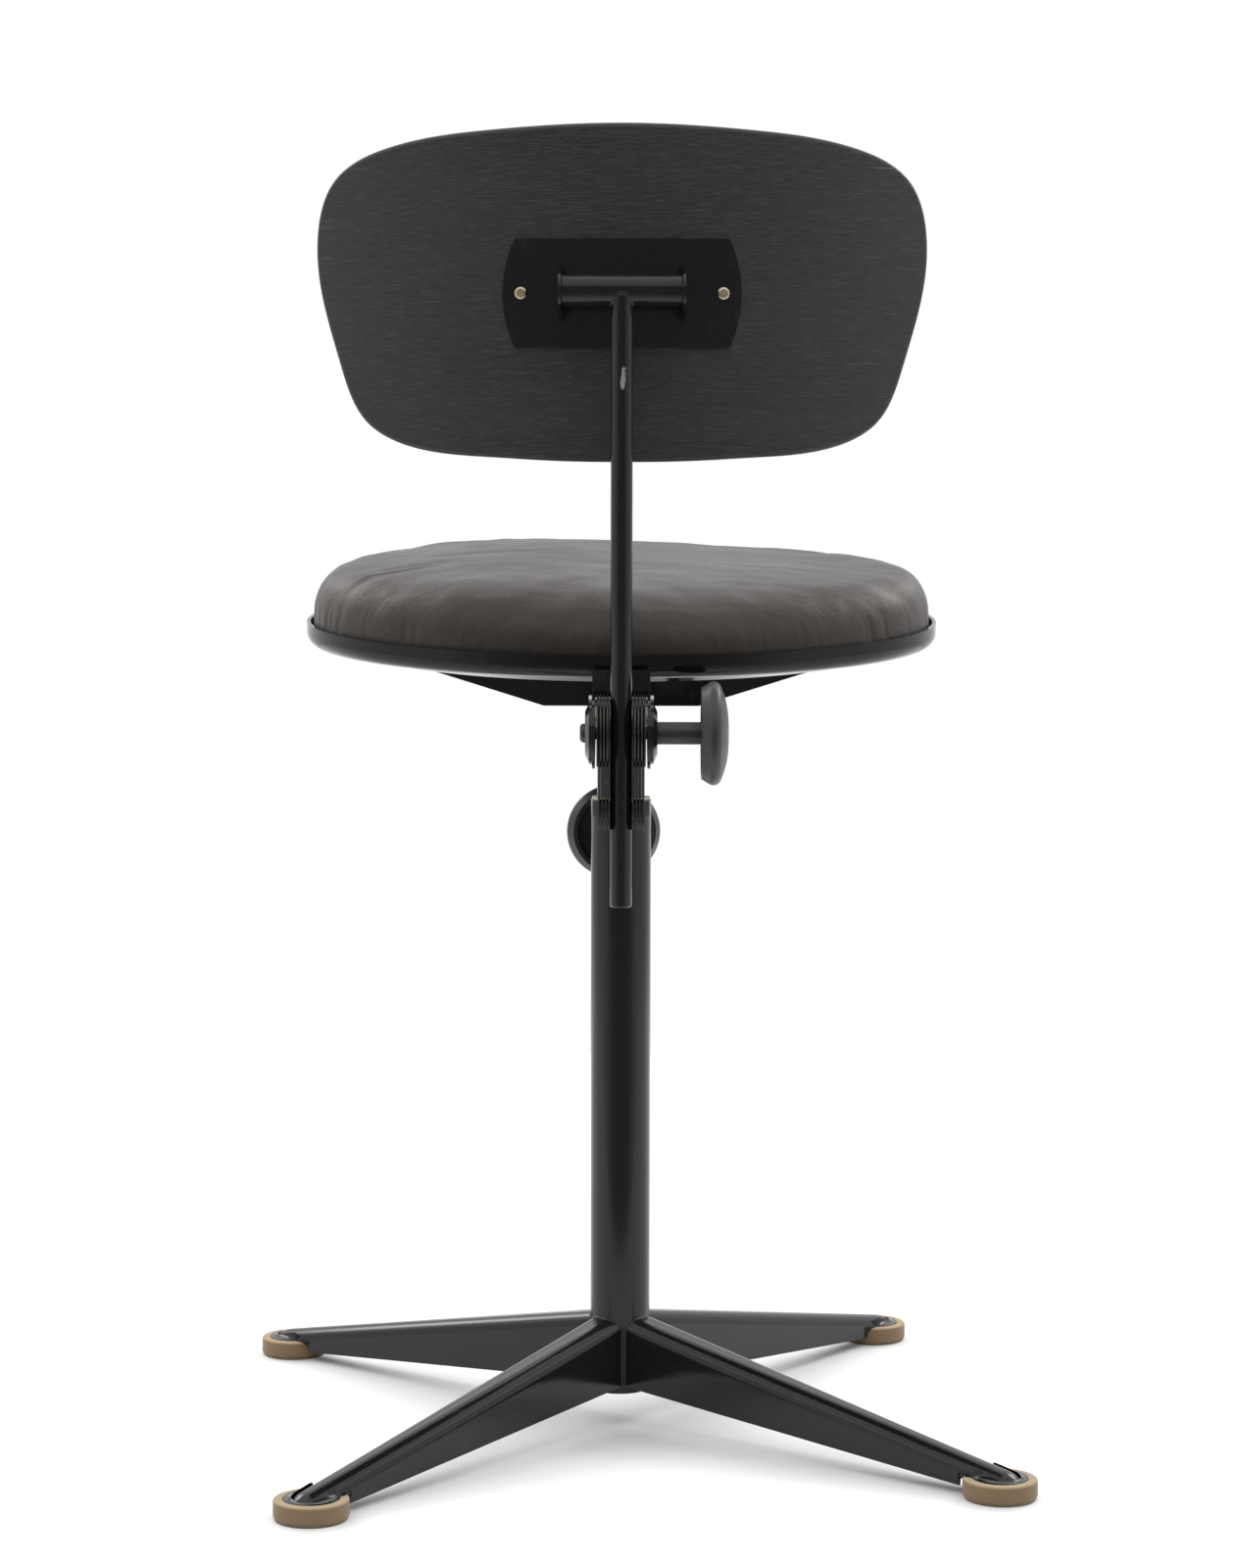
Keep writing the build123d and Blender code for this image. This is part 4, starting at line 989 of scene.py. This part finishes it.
def gridFaces(first, rows, wide):
    corners = [first + row * wide + k for row in range(rows - 1) for k in range(wide - 1)]
    return [(q, q + 1, q + wide + 1, q + wide) for q in corners]


def legSheet(out, across):
    # rows along the leg, then rows round the nose
    cut, rim = legs["circle"] - legs["cutBack"], legs["circle"] - legs["discRadius"]
    stations = [legs["second"] + (legs["noseRadius"] - legs["second"]) * i / 44 for i in range(45)]
    stations = [legs["first"]] + sorted(stations + [cut - sink, cut + sink, rim - 2 * sink, rim])
    points = []
    for radius in stations:
        section = halfSection(radius)
        for x, drop in [(-o, d) for o, d in reversed(section[1:])] + section:
            reach = max(radius, math.sqrt(columnRadius ** 2 - x * x) - 0.0004)
            points.append(out * reach + across * x + Vector((0, 0, ridgeAt(reach) - drop)))
    section = halfSection(legs["noseRadius"])
    faces = gridFaces(0, len(stations), 2 * len(section) - 1) + gridFaces(len(points), 17, len(section))
    down = ridgeAt(legs["noseRadius"]) - lowAt(legs["noseRadius"])
    for step in range(17):
        a = math.radians(90 - 180 * step / 16)
        for o, drop in section:
            radius = legs["noseRadius"] + o * math.cos(a)
            height = legs["discTop"] - sink + (ridgeAt(radius) - legs["discTop"]) * (1 - drop / down)
            points.append(out * radius + across * (o * math.sin(a)) + Vector((0, 0, height)))
    return points, faces


def pressedLeg(turn, name, node):
    out, across = legAxes(turn)
    leg = meshObject(name + "Sheet", *legSheet(out, across))
    shape = bmesh.new()
    shape.from_mesh(leg.data)
    bmesh.ops.remove_doubles(shape, verts=shape.verts, dist=5e-5)
    bmesh.ops.recalc_face_normals(shape, faces=shape.faces)
    crown = max(shape.faces, key=lambda f: f.calc_center_median().z)
    if crown.normal.z < 0:
        bmesh.ops.reverse_faces(shape, faces=shape.faces)
    shape.to_mesh(leg.data)
    shape.free()
    sheet = leg.modifiers.new("sheet", "SOLIDIFY")
    sheet.thickness = legs["sheet"]
    sheet.offset = -1
    leg = bake(leg, name)
    shape = bmesh.new()
    shape.from_mesh(leg.data)
    middle = out * legs["circle"] + Vector((0, 0, (legs["discTop"] + legs["discLow"]) / 2))
    bmesh.ops.create_cone(shape, segments=64, radius1=legs["discRadius"], radius2=legs["discRadius"],
                          cap_ends=True, depth=legs["discTop"] - legs["discLow"],
                          matrix=Matrix.Translation(middle))
    shape.to_mesh(leg.data)
    shape.free()
    smoothByAngle(leg.data, 32)
    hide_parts(node)
    return place(leg, frameEnamel, "base")


for number, corner in enumerate(("rear_left", "rear_right", "front_right", "front_left")):
    label = "leg" + "".join(word.title() for word in corner.split("_"))
    pressedLeg(legs["turn"] + 90 * number, label, "leg_" + corner)
print("stool: legs folded, ends drawn out")


# screws under the seat: domed pan heads with a cross recess
screws = {"head": 0.0046, "rise": 0.0022, "recess": 0.0011, "depth": 0.0012, "sunk": 0.0002}


def screwTree():
    tree, given = startTree("panHeadScrews", [
        ("Geometry", "Geometry", None), ("Head Radius", "Float", 0.0046), ("Head Height", "Float", 0.0022),
        ("Recess Width", "Float", 0.001), ("Recess Depth", "Float", 0.001), ("Finish", "Material", None)])
    ball = addNode(tree, "GeometryNodeMeshUVSphere", {}, {"Segments": 32, "Rings": 16, "Radius": 1.0})
    size = vectorOf(tree, given["Head Radius"], given["Head Radius"], given["Head Height"])
    dome = addNode(tree, "GeometryNodeTransform", {}, {"Geometry": ball.outputs[0], "Scale": size})
    long = sums(tree, "MULTIPLY", given["Head Radius"], 1.15)
    deep = sums(tree, "MULTIPLY", given["Recess Depth"], 2.0)
    drop = vectorOf(tree, 0.0, 0.0, sums(tree, "MULTIPLY", given["Head Height"], -1.0))
    cut = addNode(tree, "GeometryNodeMeshBoolean", {"operation": "DIFFERENCE"}, {"Mesh 1": dome.outputs[0]})
    for a, b in ((given["Recess Width"], long), (long, given["Recess Width"])):
        bar = addNode(tree, "GeometryNodeMeshCube", {}, {"Size": vectorOf(tree, a, b, deep)})
        arm = addNode(tree, "GeometryNodeTransform", {}, {"Geometry": bar.outputs[0], "Translation": drop})
        tree.links.new(arm.outputs[0], cut.inputs["Mesh 2"])
    heads = addNode(tree, "GeometryNodeInstanceOnPoints", {}, {
        "Points": given["Geometry"], "Instance": cut.outputs[0]})
    endTree(tree, heads.outputs[0])
    return tree


screwLow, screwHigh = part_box("seat_screws")
screwSpots = [(x, y, screwLow.z + screws["rise"] - screws["sunk"])
              for x in (screwLow.x + screws["head"], screwHigh.x - screws["head"])
              for y in (screwLow.y + screws["head"], screwHigh.y - screws["head"])]
screwHeads = grow(meshObject("screwSpots", screwSpots, []), screwTree(), "seatScrewHeads", {
    "Head Radius": screws["head"], "Head Height": screws["rise"], "Recess Width": screws["recess"],
    "Recess Depth": screws["depth"], "Finish": zincSteel})
smoothByAngle(screwHeads.data, 40)
place(screwHeads, zincSteel, "seat")
print("stool: screws set")


# studio: pale floor, soft light from both sides and above, nothing bright on the camera's side
studio = {
    "floorWide": 2.2, "floorBack": -1.7, "floorFront": 0.62,
    "backdrop": 1.0, "dark": 0.24, "sky": 0.06, "ceiling": 0.3,  # how bright each part of the room is
    "overhead": 2.7, "overheadSpread": 120, "side": 20.0, "sideSize": 1.1, "sideAway": (1.9, -1.7, 2.2),
}


def paperSweep():
    # matt white background paper
    material, tree, shader, where = startMaterial("paperSweepWhite", Roughness=0.6)
    cloud = grain(tree, stretched(tree, where, (0.4,) * 3))
    feed(tree, shader, "Base Color", tint(tree, cloud, linear("F4F4F4"), linear("F7F7F7")))
    return material


wide, behind, ahead = studio["floorWide"], studio["floorBack"], studio["floorFront"]
floor = meshObject("studioFloor", [
    (-wide, behind, 0), (wide, behind, 0), (wide, ahead, 0), (-wide, ahead, 0)], [(0, 1, 2, 3)])
dress(floor, paperSweep())

world = bpy.data.worlds.new("studioAir")
scene.world = world
world.use_nodes = True
air = world.node_tree
air.nodes.clear()
direction = addNode(air, "ShaderNodeSeparateXYZ", {}, {
    0: addNode(air, "ShaderNodeTexCoord").outputs["Generated"]})
# white paper behind, dark room in front, a dim band above the paper and a paler ceiling
paper = ramp(air, direction.outputs[1], 0.97, 0.42, studio["dark"], studio["backdrop"])
low = ramp(air, direction.outputs[2], 0.68, 0.48, studio["sky"], 1.0)
ceiling = ramp(air, direction.outputs[2], 0.72, 0.92, 0.0, studio["ceiling"])
seen = addNode(air, "ShaderNodeLightPath").outputs["Is Camera Ray"]  # the background itself is plain white
level = addNode(air, "ShaderNodeMix", {"data_type": "FLOAT"}, {
    0: seen, 2: sums(air, "ADD", sums(air, "MULTIPLY", paper, low), ceiling), 3: 1.0})
glow = addNode(air, "ShaderNodeBackground", {}, {"Color": linear("FFFFFF"), "Strength": level.outputs[0]})
addNode(air, "ShaderNodeOutputWorld", {}, {"Surface": glow.outputs[0]})


def lamp(name, kind, location, target, energy, **settings):
    data = bpy.data.lights.new(name, kind)
    data.energy = energy
    for key, value in settings.items():
        setattr(data, key, value)
    thing = bpy.data.objects.new(name, data)
    scene.collection.objects.link(thing)
    thing.location = location
    thing.rotation_euler = (Vector(target) - Vector(location)).to_track_quat("-Z", "Y").to_euler()
    return thing


lamp("overhead", "SUN", (0, 0, 4), (0, 0, 0), studio["overhead"],
     angle=math.radians(studio["overheadSpread"]))
boxX, boxY, boxZ = studio["sideAway"]
for side, share in ((1, 1.0), (-1, 1.1)):
    lamp("sideBox", "AREA", (side * boxX, boxY, boxZ), (0, 0, 0.4), studio["side"] * share,
         shape="SQUARE", size=studio["sideSize"])

view = {  # the angles are degrees from looking straight along -Y
    "position": (0.0, 2.5005, 0.6514), "pitch": 4.445, "pan": -0.0497, "roll": 0.1132, "lens": 81.44,
}
cameraData = bpy.data.cameras.new("stoolCamera")
cameraData.sensor_width = 36.0
cameraData.sensor_fit = "AUTO"
cameraData.lens = view["lens"]
cameraData.clip_end = 60
camera = bpy.data.objects.new("stoolCamera", cameraData)
scene.collection.objects.link(camera)
scene.camera = camera


def aim():
    pitch, pan, roll = (math.radians(view[k]) for k in ("pitch", "pan", "roll"))
    ahead = Vector((-math.sin(pan) * math.cos(pitch), -math.cos(pan) * math.cos(pitch), -math.sin(pitch)))
    right = Vector((-math.cos(pan), math.sin(pan), 0))
    up = right.cross(ahead)
    newRight = right * math.cos(roll) + up * math.sin(roll)
    newUp = up * math.cos(roll) - right * math.sin(roll)
    camera.rotation_mode = "QUATERNION"
    turn = Matrix((newRight, newUp, -ahead)).transposed()
    camera.rotation_quaternion = turn.to_quaternion()
    camera.location = view["position"]


aim()
scene.view_settings.view_transform = "Standard"
scene.view_settings.look = "None"
print("stool: studio ready")
